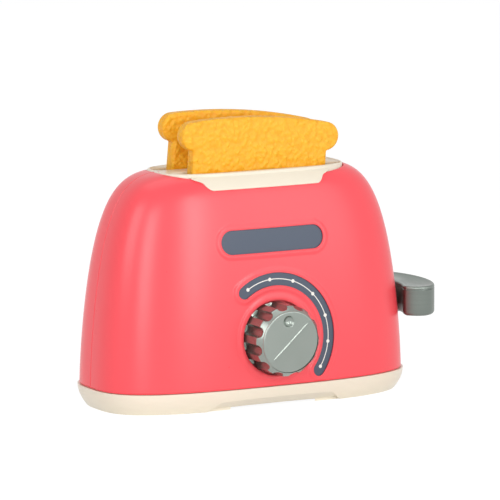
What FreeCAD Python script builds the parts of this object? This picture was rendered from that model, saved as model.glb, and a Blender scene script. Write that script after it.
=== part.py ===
import FreeCAD, Part
import math
import os
import re

# A toy pop-up toaster. X runs along the body towards the lever, Y from the dial side to the back, Z up.
# The origin is the middle of the base on the standing plane. Every length is in millimetres.

# ---- driving sizes ----

# Moulded shell: a loaf form whose level sections are superellipses.
body_half_length = 90.0
body_half_depth = 41.0
shell_foot = 11.5
crown_height = 124.5
length_rise = 1.5
length_fade = 8.0
depth_rise = 1.2
depth_fade = 6.0
plan_squareness = 3.05
shell_wall = 2.2

# Posts that join the two half shells, and posts that the base is screwed to.
post_radius = 4.6
low_post_reach = 76.0
low_post_height = 66.0
high_post_reach = 63.0
high_post_height = 100.0
foot_post_reach = 60.0
foot_post_depth = 25.0
foot_post_top = 30.0
rib_thickness = 1.8
rib_gap = 0.5
screw_radius = 1.2
screw_head_radius = 2.9
screw_head_height = 2.0
screw_grip = 9.0
screw_hole_clearance = 0.5
screw_bite_clearance = 0.04
screw_seat_depth = 9.0
head_clearance = 0.3

# Base tray.
tray_rim = 11.3
tray_proud = 1.0
tray_foot_inset = 4.5
tray_wall = 2.2
tray_floor = 4.0
floor_thickness = 2.2
lip_height = 2.7
lip_thickness = 1.6
lip_clearance = 0.25
standing_rib_inset = 16.0
standing_rib_width = 2.4
arch_half_length = 39.6
arch_slope = 1.27
arch_height = 5.2
arch_bevel = 0.76
tray_boss_radius = 4.6
tray_seat = 7.4

# Slot plate on the crown, with a chute for each slice of bread.
plate_half_length = 57.2
plate_half_depth = 24.5
plate_squareness = 3.3
plate_top = 123.4
plate_edge_round = 1.4
plate_deck = 2.4
plate_foot = 114.0
plate_wall = 2.0
plate_fit = 0.15
opening_depth = 12.0
snap_reach = 1.2
snap_height = 2.6
snap_width = 6.0
snap_spacing = 18.0
snap_gap = 0.25
slot_half_length = 49.45
slot_shift = 2.45
slot_half_width = 5.2
slot_corner = 3.5
slice_spacing = 22.4
chute_foot = 96.0
chute_wall = 1.5
apron_half_length = 32.6
apron_flare = 3.7
apron_flare_height = 4.4
apron_shoulder = 3.2
apron_shoulder_height = 1.3
apron_corner = 2.6
apron_foot = 115.2
apron_proud = 1.0
apron_gap = 0.12

# Printed insets in the front: a pill above the dial and an arc round it.
inset_depth = 0.9
inset_fit = 0.08
inset_sunk = 0.15
inset_rim = 2.4
inset_rim_proud = 0.45
label_half_length = 30.4
label_half_height = 6.4
label_height = 88.3
scale_radius = 31.0
scale_half_width = 3.5
scale_start = -36.5
scale_end = 127.5

# Dial.
dial_height = 36.8
dial_recess_radius = 19.9
dial_ring_width = 2.9
dial_ring_proud = 0.5
dial_cup_wall = 1.8
dial_radius = 19.0
dial_neck_radius = 17.4
dial_face_radius = 16.3
dial_face_depth = 55.2
dial_rear_depth = 36.3
dial_face_thickness = 4.6
dial_edge_round = 1.1
dial_face_step = 0.9
flute_radius = 3.1
flute_offset = 1.1
flute_lean = 2.5
flute_bearing = 19.0
dimple_radius = 2.8
dimple_offset = 10.5
dimple_bearing = -7.0
dimple_sink = 1.3
face_facet_angle = 2.2
face_facet_bearing = 42.0

# Wind-up timer between two plates.
timer_front = 32.8
cup_floor_thickness = 2.0
timer_plate_thickness = 1.0
timer_gap = 13.8
timer_left = 25.0
timer_right = 37.0
timer_low = 16.0
timer_high = 73.0
timer_corner = 4.0
pillar_radius = 2.0
pillar_inset = 4.0
pillar_screw_radius = 0.9
pillar_head_radius = 1.7
pillar_head_height = 1.0
arbor_radius = 3.0
arbor_tip_radius = 1.8
running_clearance = 0.05
seat_clearance = 0.02
arbor_flat = 2.2
arbor_into_dial = 11.0
arbor_flat_overrun = 1.3
cup_hole_clearance = 0.4
timer_screw_reach = 11.0
timer_screw_head = 1.2
gear_module = 0.8
wheel_thickness = 1.5
main_hole_reach = 10.0
main_hole_radius = 3.4
second_hole_reach = 9.0
second_hole_radius = 3.2
gear_backlash = 0.14
mesh_clearance = 0.05
gear_addendum = 0.8
main_teeth = 45
second_pinion_teeth = 15
second_teeth = 42
fan_pinion_teeth = 14
second_bearing = 35.0
fan_bearing = 155.0
pinion_length = 2.6
small_arbor_radius = 1.5
pivot_radius = 0.8
arbor_end_play = 0.2
pivot_stand_out = 0.6
pinion_trim = 0.4
main_wheel_depth = 31.4
cam_depth = 29.7
spring_depth = 27.2
second_wheel_depth = 20.6
fan_depth = 27.4
cam_radius = 14.0
cam_thickness = 1.5
cam_notch_radius = 2.6
cam_notch_bearing = 205.0
spring_height = 5.4
spring_strip = 0.4
spring_turns = 7.5
spring_inner = 3.5
spring_outer = 13.2
fan_radius = 7.6
fan_length = 5.0
fan_blade = 0.8
fan_hub_radius = 2.3

# Latch that holds the carriage down.
latch_reach = 36.0
latch_pivot_height = 24.0
latch_thickness = 1.5
latch_pin_radius = 1.0
latch_pin_set = 2.0
latch_pin_play = 0.4
latch_boss_gap = 0.4
latch_hub_radius = 2.6
latch_arm_width = 3.0
latch_nose = 2.2
latch_nose_height = 3.0
latch_nose_foot = 37.6
latch_boss_radius = 3.2
latch_follower_gap = 0.5
latch_follower_drop = 4.9
latch_hub_length = 1.2
latch_pin_head = 0.8
latch_wire = 0.3
latch_coil_radius = 1.6
latch_coil_pitch = 0.75
latch_coil_length = 2.2
latch_spring_gap = 0.5

# Sprung carriage on two rods, with the lever arm through the right end.
platform_top = 62.5
platform_thickness = 3.0
platform_half_length = 45.0
platform_half_depth = 16.0
ridge_height = 5.0
ridge_half_length = 40.0
slice_side_gap = 0.3
rod_reach = 49.0
rod_radius = 1.5
sleeve_radius = 4.0
sleeve_length = 10.5
rod_socket_top = 108.0
rod_socket_foot = 92.0
rod_boss_radius = 3.6
rod_seat = 7.0
tray_rod_boss_top = 14.0
tongue_left = 46.0
tongue_width = 6.0
tongue_depth = 31.0
arm_half_thickness = 3.0
arm_foot = 42.0
arm_height = 10.0
arm_root = 53.0
arm_web = 8.0
arm_tip = 102.0
lever_travel = 26.0
lever_slot_clearance = 1.0
lever_slot_depth = 14.0
lift_wire = 0.5
lift_coil_radius = 2.7
lift_turns = 9.0
lift_end_gap = 0.3

# Lever paddle.
paddle_centre = 95.7
paddle_half_width = 15.1
paddle_half_depth = 30.4
paddle_foot = 39.1
paddle_top = 55.3
paddle_round = 2.2
paddle_body_gap = 0.8
paddle_dish_radius = 190.0
paddle_dish_depth = 0.9
paddle_dish_shift = 4.0
socket_clearance = 0.1
socket_end_gap = 0.3
lever_screw_reach = 98.0
lever_screw_radius = 1.3
lever_screw_bite = 6.0
lever_screw_head = 1.4

# Slices of play bread.
slice_half_width = 40.0
slice_head_half_width = 47.0
slice_shoulder = 68.0
slice_head_height = 15.4
slice_crown = 2.8
slice_thickness = 8.0
slice_corner = 4.0
slice_edge_round = 1.0
front_slice_lean = 3.4
rear_slice_lean = 5.3
slice_head_shift = 4.3
slice_rest_gap = 0.05

# Every named size above goes into the document's sheet, and the objects read it from there.
driving_sizes = {name: value for name, value in globals().items() if isinstance(value, (int, float))}
doc = FreeCAD.newDocument("ToyToaster")
sheet = doc.addObject("Spreadsheet::Sheet", "Sizes")
for row, (name, value) in enumerate(driving_sizes.items(), 1):
    sheet.set("A%d" % row, name)
    sheet.set("B%d" % row, str(value))
    sheet.setAlias("B%d" % row, name)
doc.recompute()


def val(name):
    return float(sheet.get(name))


def bound(text):
    """Turns a formula of size names into one that reads the sheet."""
    return re.sub(r"[a-z_]+", lambda word: "Sizes." * (word[0] in driving_sizes) + word[0], text)


# ---- small builders of document objects ----

ALONG_X = FreeCAD.Rotation(FreeCAD.Vector(0, 1, 0), 90)
ALONG_Y = FreeCAD.Rotation(FreeCAD.Vector(1, 0, 0), -90)
ALONG_Z = FreeCAD.Rotation()


def place(obj, x, y, z, rotation=ALONG_Z):
    obj.Placement = FreeCAD.Placement(FreeCAD.Vector(), rotation)
    for axis, text in (("x", x), ("y", y), ("z", z)):
        obj.setExpression("Placement.Base." + axis, bound(text))
    return obj


def block(name, x_from, x_to, y_from, y_to, z_from, z_to):
    """A box given by formulas for its six faces."""
    obj = doc.addObject("Part::Box", name)
    obj.setExpression("Length", bound("(%s) - (%s)" % (x_to, x_from)))
    obj.setExpression("Width", bound("(%s) - (%s)" % (y_to, y_from)))
    obj.setExpression("Height", bound("(%s) - (%s)" % (z_to, z_from)))
    return place(obj, x_from, y_from, z_from)


def round_bar(name, radius, length, x, y, z, rotation=ALONG_Z):
    """A cylinder from its start point along the rotation's axis."""
    obj = doc.addObject("Part::Cylinder", name)
    obj.setExpression("Radius", bound(radius))
    obj.setExpression("Height", bound(length))
    return place(obj, x, y, z, rotation)


def form(name, shape):
    """A shape that neither a primitive nor a sketch describes."""
    obj = doc.addObject("Part::Feature", name)
    obj.Shape = shape
    return obj


def fuse(name, *members):
    obj = doc.addObject("Part::MultiFuse", name)
    obj.Shapes = list(members)
    return obj


def cut(name, base, *tools):
    obj = doc.addObject("Part::Cut", name)
    obj.Base = base
    obj.Tool = tools[0] if len(tools) == 1 else fuse(name + "_tools", *tools)
    return obj


def common(name, first, second):
    obj = doc.addObject("Part::Common", name)
    obj.Base = first
    obj.Tool = second
    return obj


def rounded(name, base, radius, chosen):
    """Fillets the edges that the test picks."""
    doc.recompute()
    obj = doc.addObject("Part::Fillet", name)
    obj.Base = base
    r = val(radius)
    obj.Edges = [(i, r, r) for i, edge in enumerate(base.Shape.Edges, 1) if chosen(edge)]
    return obj


def corners(x, y):
    """The four sign pairs of a point mirrored in both middle planes."""
    return [(sx + x, sy + y) for sx in ("", "-") for sy in ("", "-")]


# ---- the loaf form ----

def half_length_at(z, grown=0.0):
    span = val("crown_height") + grown - val("shell_foot")
    share = min(max((z - val("shell_foot")) / span, 0.0), 1.0)
    return (val("body_half_length") + grown) * (1 - share ** val("length_rise")) ** (1 / val("length_fade"))


def half_depth_at(z, grown=0.0):
    span = val("crown_height") + grown - val("shell_foot")
    share = min(max((z - val("shell_foot")) / span, 0.0), 1.0)
    return (val("body_half_depth") + grown) * (1 - share ** val("depth_rise")) ** (1 / val("depth_fade"))


def level_outline(half_length, half_depth, squareness, z, points=24):
    """A closed superellipse at height z."""
    ring = []
    for i in range(points):
        turn = 2 * math.pi * i / points
        c, s = math.cos(turn), math.sin(turn)
        reach = (abs(c) ** squareness + abs(s) ** squareness) ** (-1 / squareness)
        ring.append(FreeCAD.Vector(half_length * reach * c, half_depth * reach * s, z))
    curve = Part.BSplineCurve()
    curve.interpolate(Points=ring, PeriodicFlag=True)
    return Part.Wire(curve.toShape())


def level_prism(half_length, half_depth, squareness, low, high):
    face = Part.Face(level_outline(half_length, half_depth, squareness, low))
    return face.extrude(FreeCAD.Vector(0, 0, high - low))


DOME_SECTIONS = 8
TOP_SHARE = 0.9875
SECTION_CROWDING = 2.2
FOOT_OVERLAP = 1.0


def dome(grown=0.0, drop=0.0):
    """The loaf as a solid, grown or shrunk evenly, with its foot lowered by drop."""
    foot = val("shell_foot")
    top = val("crown_height") + grown
    wires = []
    for i in range(DOME_SECTIONS + 1):
        share = TOP_SHARE * (1 - (1 - i / DOME_SECTIONS) ** SECTION_CROWDING)
        z = foot + share * (top - foot)
        low = drop * (1 - share)
        a, b = half_length_at(z, grown), half_depth_at(z, grown)
        wires.append(level_outline(a, b, val("plan_squareness"), z - low))
    return Part.makeLoft(wires, True, False)


def body_prism(grown, low, high):
    """The body's foot outline, grown, as an upright prism."""
    a, b = val("body_half_length") + grown, val("body_half_depth") + grown
    return level_prism(a, b, val("plan_squareness"), low, high)


def front_prism(wire):
    """A prism through the front wall from an outline drawn at y = 0."""
    return Part.Face(wire).extrude(FreeCAD.Vector(0, -2 * val("body_half_depth"), 0))


def pill_outline(half_length, half_height, z):
    x = half_length - half_height
    a, b = FreeCAD.Vector(-x, 0, z + half_height), FreeCAD.Vector(x, 0, z + half_height)
    c, d = FreeCAD.Vector(x, 0, z - half_height), FreeCAD.Vector(-x, 0, z - half_height)
    right = Part.Arc(b, FreeCAD.Vector(half_length, 0, z), c)
    left = Part.Arc(d, FreeCAD.Vector(-half_length, 0, z), a)
    return Part.Wire([Part.makeLine(a, b), right.toShape(), Part.makeLine(c, d), left.toShape()])


def dial_point(radius, clock):
    """A point round the dial's axis; clock degrees run clockwise from the top, seen from the front."""
    turn = math.radians(clock)
    return FreeCAD.Vector(radius * math.sin(turn), 0, val("dial_height") + radius * math.cos(turn))


def scale_outline(grown=0.0):
    """The arc band round the dial, with round ends."""
    mid, half = val("scale_radius"), val("scale_half_width") + grown
    start, end = val("scale_start"), val("scale_end")
    middle = (start + end) / 2
    cap = math.degrees(half / mid)
    outer = Part.Arc(*[dial_point(mid + half, a) for a in (start, middle, end)])
    far_cap = Part.Arc(dial_point(mid + half, end), dial_point(mid, end + cap), dial_point(mid - half, end))
    inner = Part.Arc(*[dial_point(mid - half, a) for a in (end, middle, start)])
    near_cap = Part.Arc(dial_point(mid - half, start), dial_point(mid, start - cap),
                        dial_point(mid + half, start))
    return Part.Wire([arc.toShape() for arc in (outer, far_cap, inner, near_cap)])


def label_outline(grown=0.0):
    return pill_outline(val("label_half_length") + grown, val("label_half_height") + grown,
                        val("label_height"))


# ---- shell ----

def shell_with_insets():
    """The whole loaf, solid, with the raised rims and the pockets of its front."""
    outer = dome()
    proud = dome(val("inset_rim_proud"))
    pocket_floor = dome(-val("inset_depth"))
    shell = outer
    for outline in (label_outline, scale_outline):
        shell = shell.fuse(front_prism(outline(val("inset_rim"))).common(proud))
    for outline in (label_outline, scale_outline):
        shell = shell.cut(front_prism(outline()).cut(pocket_floor))
    return shell


def plate_prism(grown, low, high):
    a, b = val("plate_half_length") + grown, val("plate_half_depth") + grown
    return level_prism(a, b, val("plate_squareness"), low, high)


ABOVE_ALL = 200.0
cup_outer = "dial_recess_radius + dial_cup_wall"
cup_rear = "-timer_front"
outer_form = form("outer_form", shell_with_insets())
inner_form = form("inner_form", dome(-val("shell_wall"), FOOT_OVERLAP))
ring_form = form("ring_form", dome(val("dial_ring_proud")).cut(dome(-val("shell_wall"), FOOT_OVERLAP)))
dial_ring = common("dial_ring", ring_form,
                   round_bar("dial_ring_bar", "dial_recess_radius + dial_ring_width", "body_half_depth", "0",
                             "-1.5 * body_half_depth", "dial_height", ALONG_Y))
post_form = form("post_form", dome(-val("shell_wall") / 2))
opening_foot = val("plate_foot") - val("opening_depth")
crown_opening = form("crown_opening", plate_prism(val("plate_fit"), opening_foot, ABOVE_ALL))

hollow = cut("hollow_shell", outer_form, inner_form)

cup = common("dial_cup", form("cup_limit", dome()),
             round_bar("cup_bar", cup_outer, "body_half_depth", "0",
                       "-body_half_depth - timer_front", "dial_height", ALONG_Y))


def joining_post(name, reach, height):
    return round_bar(name, "post_radius", "2 * body_half_depth", reach, "-body_half_depth", height, ALONG_Y)


POSTS = [("low_post_reach", "low_post_height"), ("-low_post_reach", "low_post_height"),
         ("high_post_reach", "high_post_height"), ("-high_post_reach", "high_post_height")]
FEET = corners("foot_post_reach", "foot_post_depth")
post_bars = [joining_post("post_bar_%d" % i, x, z) for i, (x, z) in enumerate(POSTS)]
for i, (x, y) in enumerate(FEET):
    post_bars.append(round_bar("foot_post_%d" % i, "post_radius", "foot_post_top - shell_foot", x, y,
                               "shell_foot"))
    side = ("-body_half_depth", y) if y.startswith("-") else (y, "body_half_depth")
    post_bars.append(block("foot_rib_%d" % i, x + " - rib_thickness / 2", x + " + rib_thickness / 2",
                           side[0], side[1], "tray_rim + lip_height + rib_gap", "foot_post_top"))
latch_boss = round_bar("latch_boss", "latch_boss_radius", "body_half_depth - cam_depth - latch_boss_gap",
                       "-latch_reach", "-body_half_depth", "latch_pivot_height", ALONG_Y)
posts = common("posts", fuse("post_bars", latch_boss, *post_bars), post_form)

solid_shell = fuse("solid_shell", hollow, dial_ring, cup, posts)
openings = [
    crown_opening,
    round_bar("dial_recess", "dial_recess_radius", "body_half_depth", "0",
              "-body_half_depth - timer_front - cup_floor_thickness", "dial_height", ALONG_Y),
    round_bar("arbor_hole", "arbor_radius + cup_hole_clearance", "body_half_depth", "0",
              "-body_half_depth", "dial_height", ALONG_Y),
    round_bar("latch_pin_hole", "latch_pin_radius + seat_clearance",
              "body_half_depth - shell_wall - cam_depth", "-latch_reach",
              "-body_half_depth + shell_wall + latch_pin_set - latch_pin_play",
              "latch_pivot_height", ALONG_Y),
    block("lever_slot", "body_half_length - lever_slot_depth", "body_half_length + 4",
          "-arm_half_thickness - lever_slot_clearance", "arm_half_thickness + lever_slot_clearance",
          "arm_foot - lever_travel - lever_slot_clearance", "arm_foot + arm_height + lever_slot_clearance"),
]
for side in ("", "-"):
    openings.append(round_bar("timer_screw_hole" + side, "screw_radius + seat_clearance",
                              "cup_floor_thickness + 4", side + "timer_screw_reach",
                              "-timer_front - cup_floor_thickness - 2", "dial_height", ALONG_Y))
for i, (x, z) in enumerate(POSTS):
    openings.append(round_bar("bite_hole_%d" % i, "screw_radius + screw_bite_clearance", "screw_grip + 1", x,
                              "-screw_grip - 1", z, ALONG_Y))
    openings.append(round_bar("shank_hole_%d" % i, "screw_radius + screw_hole_clearance",
                              "screw_seat_depth + 1", x, "0", z, ALONG_Y))
    openings.append(round_bar("head_well_%d" % i, "screw_head_radius + head_clearance", "body_half_depth", x,
                              "screw_seat_depth", z, ALONG_Y))
for i, (x, y) in enumerate(FEET):
    openings.append(round_bar("foot_bite_%d" % i, "screw_radius + screw_bite_clearance",
                              "screw_grip + 2", x, y, "shell_foot - 1"))
cut_shell = cut("cut_shell", solid_shell, *openings)

front_half = block("front_half", "-2 * body_half_length", "2 * body_half_length", "-2 * body_half_depth",
                   "0", "-1", "2 * crown_height")
rear_half = block("rear_half", "-2 * body_half_length", "2 * body_half_length", "0", "2 * body_half_depth",
                  "-1", "2 * crown_height")
front_shell = common("front_shell", cut_shell, front_half)
rear_shell = common("rear_shell", cut_shell, rear_half)

front_label = form("front_label", front_prism(label_outline(-val("inset_fit"))).common(
    dome(-val("inset_sunk")).cut(dome(-val("inset_depth")))))
scale_label = form("scale_label", front_prism(scale_outline(-val("inset_fit"))).common(
    dome(-val("inset_sunk")).cut(dome(-val("inset_depth")))))


# ---- base tray ----

TRAY_SECTIONS = 5


def tray_form():
    """The tray's outside, drawn in towards the floor, with the lip that locates the shell."""
    rim = val("tray_rim")
    wires = []
    for i in range(TRAY_SECTIONS + 1):
        z = rim * i / TRAY_SECTIONS
        grown = val("tray_proud") - val("tray_foot_inset") * (1 - z / rim) ** 2
        a, b = val("body_half_length") + grown, val("body_half_depth") + grown
        wires.append(level_outline(a, b, val("plan_squareness"), z))
    lip = -val("shell_wall") - val("lip_clearance")
    top = rim + val("lip_height")
    solid = Part.makeLoft(wires, True, False).fuse(body_prism(lip, rim - 2, top))
    inside = lip - val("lip_thickness")
    solid = solid.cut(body_prism(inside, val("tray_floor") + val("floor_thickness"), top + 1))
    under = val("tray_proud") - val("tray_foot_inset") - val("tray_wall")
    solid = solid.cut(body_prism(under, -1, val("tray_floor")))
    rib = under + val("tray_wall") - val("standing_rib_inset")
    inner_rib = body_prism(rib - val("standing_rib_width"), -1, ABOVE_ALL)
    return solid.fuse(body_prism(rib, 0, val("tray_floor")).cut(inner_rib))


def arch_wire(depth):
    """The arch's outline where the bevel has reached this depth behind the body's widest line."""
    rise = val("arch_height") + val("arch_bevel") * (val("tray_proud") + val("arch_bevel") - depth)
    base, slope = val("arch_half_length"), val("arch_slope")
    y = -val("body_half_depth") - val("tray_proud") + depth
    points = [(-base - slope, -1), (base + slope, -1), (base - slope * rise, rise),
              (slope * rise - base, rise)]
    outline = [FreeCAD.Vector(x, y, z) for x, z in points]
    return Part.makePolygon(outline + outline[:1])


def arch_cutter():
    """Bevelled arches through the front and rear skirt: the standing rib inside stays whole."""
    front = Part.makeLoft([arch_wire(-1), arch_wire(7)], True, True)
    return front.fuse(front.mirror(FreeCAD.Vector(), FreeCAD.Vector(0, 1, 0)))


tray_parts = [form("tray_form", tray_form())]
tray_holes = [form("arch_cutter", arch_cutter())]
for i, (x, y) in enumerate(FEET):
    tray_parts.append(round_bar("tray_boss_%d" % i, "tray_boss_radius", "shell_foot - tray_floor", x, y,
                                "tray_floor"))
    tray_holes.append(round_bar("tray_hole_%d" % i, "screw_radius + screw_hole_clearance",
                                "shell_foot + 1", x, y, "0"))
    tray_holes.append(round_bar("tray_well_%d" % i, "screw_head_radius + head_clearance", "tray_seat + 1",
                                x, y, "-1"))
for side in ("", "-"):
    tray_parts.append(round_bar("rod_foot" + side, "rod_boss_radius", "tray_rod_boss_top - tray_floor",
                                side + "rod_reach", "0", "tray_floor"))
    tray_holes.append(round_bar("rod_seat" + side, "rod_radius + seat_clearance", "tray_rod_boss_top",
                                side + "rod_reach", "0", "rod_seat"))
base_tray = cut("base_tray", fuse("tray_solid", *tray_parts), *tray_holes)


# ---- slot plate ----

PLATE_ROUND_STEPS = 5


def plate_collar():
    """The collar with its rolled top edge, hollow below the deck."""
    edge = val("plate_edge_round")
    shoulder = val("plate_top") - edge
    wires = []
    for i in range(PLATE_ROUND_STEPS + 1):
        turn = math.pi / 2 * i / PLATE_ROUND_STEPS
        inset = edge * (1 - math.cos(turn))
        a, b = val("plate_half_length") - inset, val("plate_half_depth") - inset
        wires.append(level_outline(a, b, val("plate_squareness"), shoulder + edge * math.sin(turn)))
    rolled = Part.makeLoft(wires, True, False)
    under = plate_prism(-val("plate_wall"), val("plate_foot") - 1, val("plate_top") - val("plate_deck"))
    return plate_prism(0, val("plate_foot"), shoulder).fuse(rolled).cut(under)


def slot_prism(grown, y, low, high):
    """An upright prism over one slot's outline, a rectangle with small round corners."""
    length, width = val("slot_half_length") + grown, val("slot_half_width") + grown
    corner = val("slot_corner") + grown
    start = FreeCAD.Vector(val("slot_shift") - length, y - width, low)
    solid = Part.makeBox(2 * length, 2 * width, high - low, start)
    return solid.makeFillet(corner, [e for e in solid.Edges if e.BoundBox.ZLength > 1])


def crown_level(x, y, grown=0.0):
    """The height up to which the grown loaf holds the upright line at (x, y)."""
    low, high = val("shell_foot"), val("crown_height") + grown - 1e-3
    while high - low > 1e-4:
        z = (low + high) / 2
        along = (x / half_length_at(z, grown)) ** val("plan_squareness")
        across = (y / half_depth_at(z, grown)) ** val("plan_squareness")
        if along + across < 1:
            low = z
        else:
            high = z
    return low


def plate_snaps():
    """Bumps on both ends of the collar that catch under the edge of the shell's opening."""
    reach = val("plate_half_length") + val("snap_reach")
    width, spacing = val("snap_width"), val("snap_spacing")
    top = crown_level(reach, (spacing + width) / 2, -val("shell_wall")) - val("snap_gap")
    bumps = []
    for y in (spacing / 2, -spacing / 2):
        bumps.append(Part.makeBox(2 * reach, width, val("snap_height"),
                                  FreeCAD.Vector(-reach, y - width / 2, top - val("snap_height"))))
    inside = plate_prism(-val("plate_wall"), 0, ABOVE_ALL)
    return bumps[0].fuse(bumps[1]).cut(inside)


def apron():
    """The flap that hangs over the shell, front and back, with round corners and a spread top."""
    low, high = val("apron_foot"), val("plate_top") - val("plate_edge_round")
    half, waist = val("apron_half_length"), low + val("apron_flare_height")
    side = [(half, low), (half + val("apron_flare"), waist)]
    side.append((side[1][0] + val("apron_shoulder"), waist + val("apron_shoulder_height")))
    side.append((side[2][0], high))
    y = -2 * val("body_half_depth")
    outline = [FreeCAD.Vector(x, y, z) for x, z in side] + [FreeCAD.Vector(-x, y, z) for x, z in side[::-1]]
    window = Part.Face(Part.makePolygon(outline + outline[:1])).extrude(FreeCAD.Vector(0, -2 * y, 0))
    window = window.makeFillet(val("apron_corner"), [e for e in window.Edges if e.BoundBox.YLength > 1
                                                     and e.BoundBox.ZMax < waist + 0.1])
    inside = plate_prism(-val("plate_wall"), 0, ABOVE_ALL)
    flap = dome(val("apron_proud")).cut(dome(val("apron_gap"))).cut(inside)
    return flap.common(window)


def slot_plate_shape():
    plate = plate_collar().fuse(apron()).fuse(plate_snaps())
    wall, deck = val("chute_wall"), val("plate_top") - val("plate_deck")
    for y in (val("slice_spacing") / 2, -val("slice_spacing") / 2):
        plate = plate.fuse(slot_prism(wall, y, val("chute_foot"), deck + 0.5))
    for x in (val("rod_reach"), -val("rod_reach")):
        boss = Part.makeCylinder(val("rod_boss_radius"), deck + 0.5 - val("rod_socket_foot"),
                                 FreeCAD.Vector(x, 0, val("rod_socket_foot")))
        plate = plate.fuse(boss)
    for y in (val("slice_spacing") / 2, -val("slice_spacing") / 2):
        plate = plate.cut(slot_prism(0, y, val("rod_socket_foot") - 1, ABOVE_ALL))
    for x in (val("rod_reach"), -val("rod_reach")):
        bore = Part.makeCylinder(val("rod_radius") + val("seat_clearance"),
                                 val("rod_socket_top") - val("rod_socket_foot") + 1,
                                 FreeCAD.Vector(x, 0, val("rod_socket_foot") - 1))
        plate = plate.cut(bore)
    return plate


slot_plate = form("slot_plate", slot_plate_shape())

# ---- screws ----

shell_screw_parts = []
for i, (x, z) in enumerate(POSTS):
    head = round_bar("shell_screw_head_%d" % i, "screw_head_radius", "screw_head_height", x,
                     "screw_seat_depth", z, ALONG_Y)
    shank = round_bar("shell_screw_shank_%d" % i, "screw_radius", "screw_grip + screw_seat_depth", x,
                      "-screw_grip", z, ALONG_Y)
    shell_screw_parts.append(fuse("shell_screw_%d" % i, head, shank))
shell_screws = doc.addObject("Part::Compound", "shell_screws")
shell_screws.Links = shell_screw_parts

base_screw_parts = []
for i, (x, y) in enumerate(FEET):
    head = round_bar("base_screw_head_%d" % i, "screw_head_radius", "screw_head_height", x, y,
                     "tray_seat - screw_head_height")
    shank = round_bar("base_screw_shank_%d" % i, "screw_radius", "shell_foot - tray_seat + screw_grip", x, y,
                      "tray_seat")
    base_screw_parts.append(fuse("base_screw_%d" % i, head, shank))
base_screws = doc.addObject("Part::Compound", "base_screws")
base_screws.Links = base_screw_parts

# ---- guide rods and lift springs ----

rod_parts = []
for side in ("", "-"):
    rod_parts.append(round_bar("rod" + side, "rod_radius", "rod_socket_top - rod_seat",
                               side + "rod_reach", "0", "rod_seat"))
guide_rods = doc.addObject("Part::Compound", "guide_rods")
guide_rods.Links = rod_parts


def coil(radius, wire, low, high, turns):
    """A round-wire compression spring that stands on low and ends under high."""
    height = high - low - wire * 2
    path = Part.makeHelix(height / turns, height, radius)
    ring = Part.Wire(Part.makeCircle(wire, FreeCAD.Vector(radius, 0, 0), FreeCAD.Vector(0, 1, 0)))
    spring = Part.Wire(path).makePipeShell([ring], True, True)
    spring.translate(FreeCAD.Vector(0, 0, low + wire))
    return spring


def lift_spring_shape():
    low = val("tray_rod_boss_top")
    high = val("platform_top") - val("sleeve_length") - val("lift_end_gap")
    springs = []
    for x in (val("rod_reach"), -val("rod_reach")):
        spring = coil(val("lift_coil_radius"), val("lift_wire"), low, high, val("lift_turns"))
        spring.translate(FreeCAD.Vector(x, 0, 0))
        springs.append(spring)
    return Part.makeCompound(springs)


lift_springs = form("lift_springs", lift_spring_shape())

# ---- carriage, lever and its screw ----

platform_foot = "platform_top - platform_thickness"
carriage_parts = [
    block("platform", "-platform_half_length", "platform_half_length", "-platform_half_depth",
          "platform_half_depth", platform_foot, "platform_top"),
    block("ridge", "-ridge_half_length", "ridge_half_length",
          "-slice_spacing / 2 + slice_thickness / 2 + slice_side_gap",
          "slice_spacing / 2 - slice_thickness / 2 - slice_side_gap", "platform_top - 1",
          "platform_top + ridge_height"),
    block("tongue", "-tongue_left", "tongue_width - tongue_left", "-tongue_depth", "0", platform_foot,
          "platform_top"),
    block("arm_web", "platform_half_length - 2", "arm_root + arm_web", "-arm_half_thickness",
          "arm_half_thickness", platform_foot, "platform_top"),
    block("arm_drop", "arm_root", "arm_root + arm_web", "-arm_half_thickness", "arm_half_thickness",
          "arm_foot", "platform_top"),
    block("arm_bar", "arm_root", "arm_tip", "-arm_half_thickness", "arm_half_thickness", "arm_foot",
          "arm_foot + arm_height"),
]
carriage_holes = [
    round_bar("lever_screw_bite", "lever_screw_radius + screw_bite_clearance", "lever_screw_bite + 1",
              "lever_screw_reach", "0", "arm_foot - 1"),
]
for side in ("", "-"):
    carriage_parts.append(round_bar("sleeve" + side, "sleeve_radius", "sleeve_length",
                                    side + "rod_reach", "0", "platform_top - sleeve_length"))
    carriage_holes.append(round_bar("sleeve_bore" + side, "rod_radius + running_clearance", "platform_top",
                                    side + "rod_reach", "0", "platform_top - sleeve_length - 1"))
bread_carriage = cut("bread_carriage", fuse("carriage_solid", *carriage_parts), *carriage_holes)


def paddle_solid():
    """An oval paddle with rolled edges and a dished top, shaped round the body's end."""
    a, b = val("paddle_half_depth"), val("paddle_half_width")
    low, high = val("paddle_foot"), val("paddle_top")
    oval = Part.Ellipse(FreeCAD.Vector(0, 0, 0), a, b).toShape()
    oval.rotate(FreeCAD.Vector(), FreeCAD.Vector(0, 0, 1), 90)
    oval.translate(FreeCAD.Vector(val("paddle_centre"), 0, low))
    paddle = Part.Face(Part.Wire(oval)).extrude(FreeCAD.Vector(0, 0, high - low))
    ball = val("paddle_dish_radius")
    dish = Part.makeSphere(ball, FreeCAD.Vector(
        val("paddle_centre") + val("paddle_dish_shift"), 0, high + ball - val("paddle_dish_depth")))
    rims = [e for e in paddle.Edges if e.Closed or e.BoundBox.ZLength < 1e-6]
    paddle = paddle.makeFillet(val("paddle_round"), rims).cut(dish)
    return paddle.cut(body_prism(val("paddle_body_gap"), low - 1, high + 1))


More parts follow.
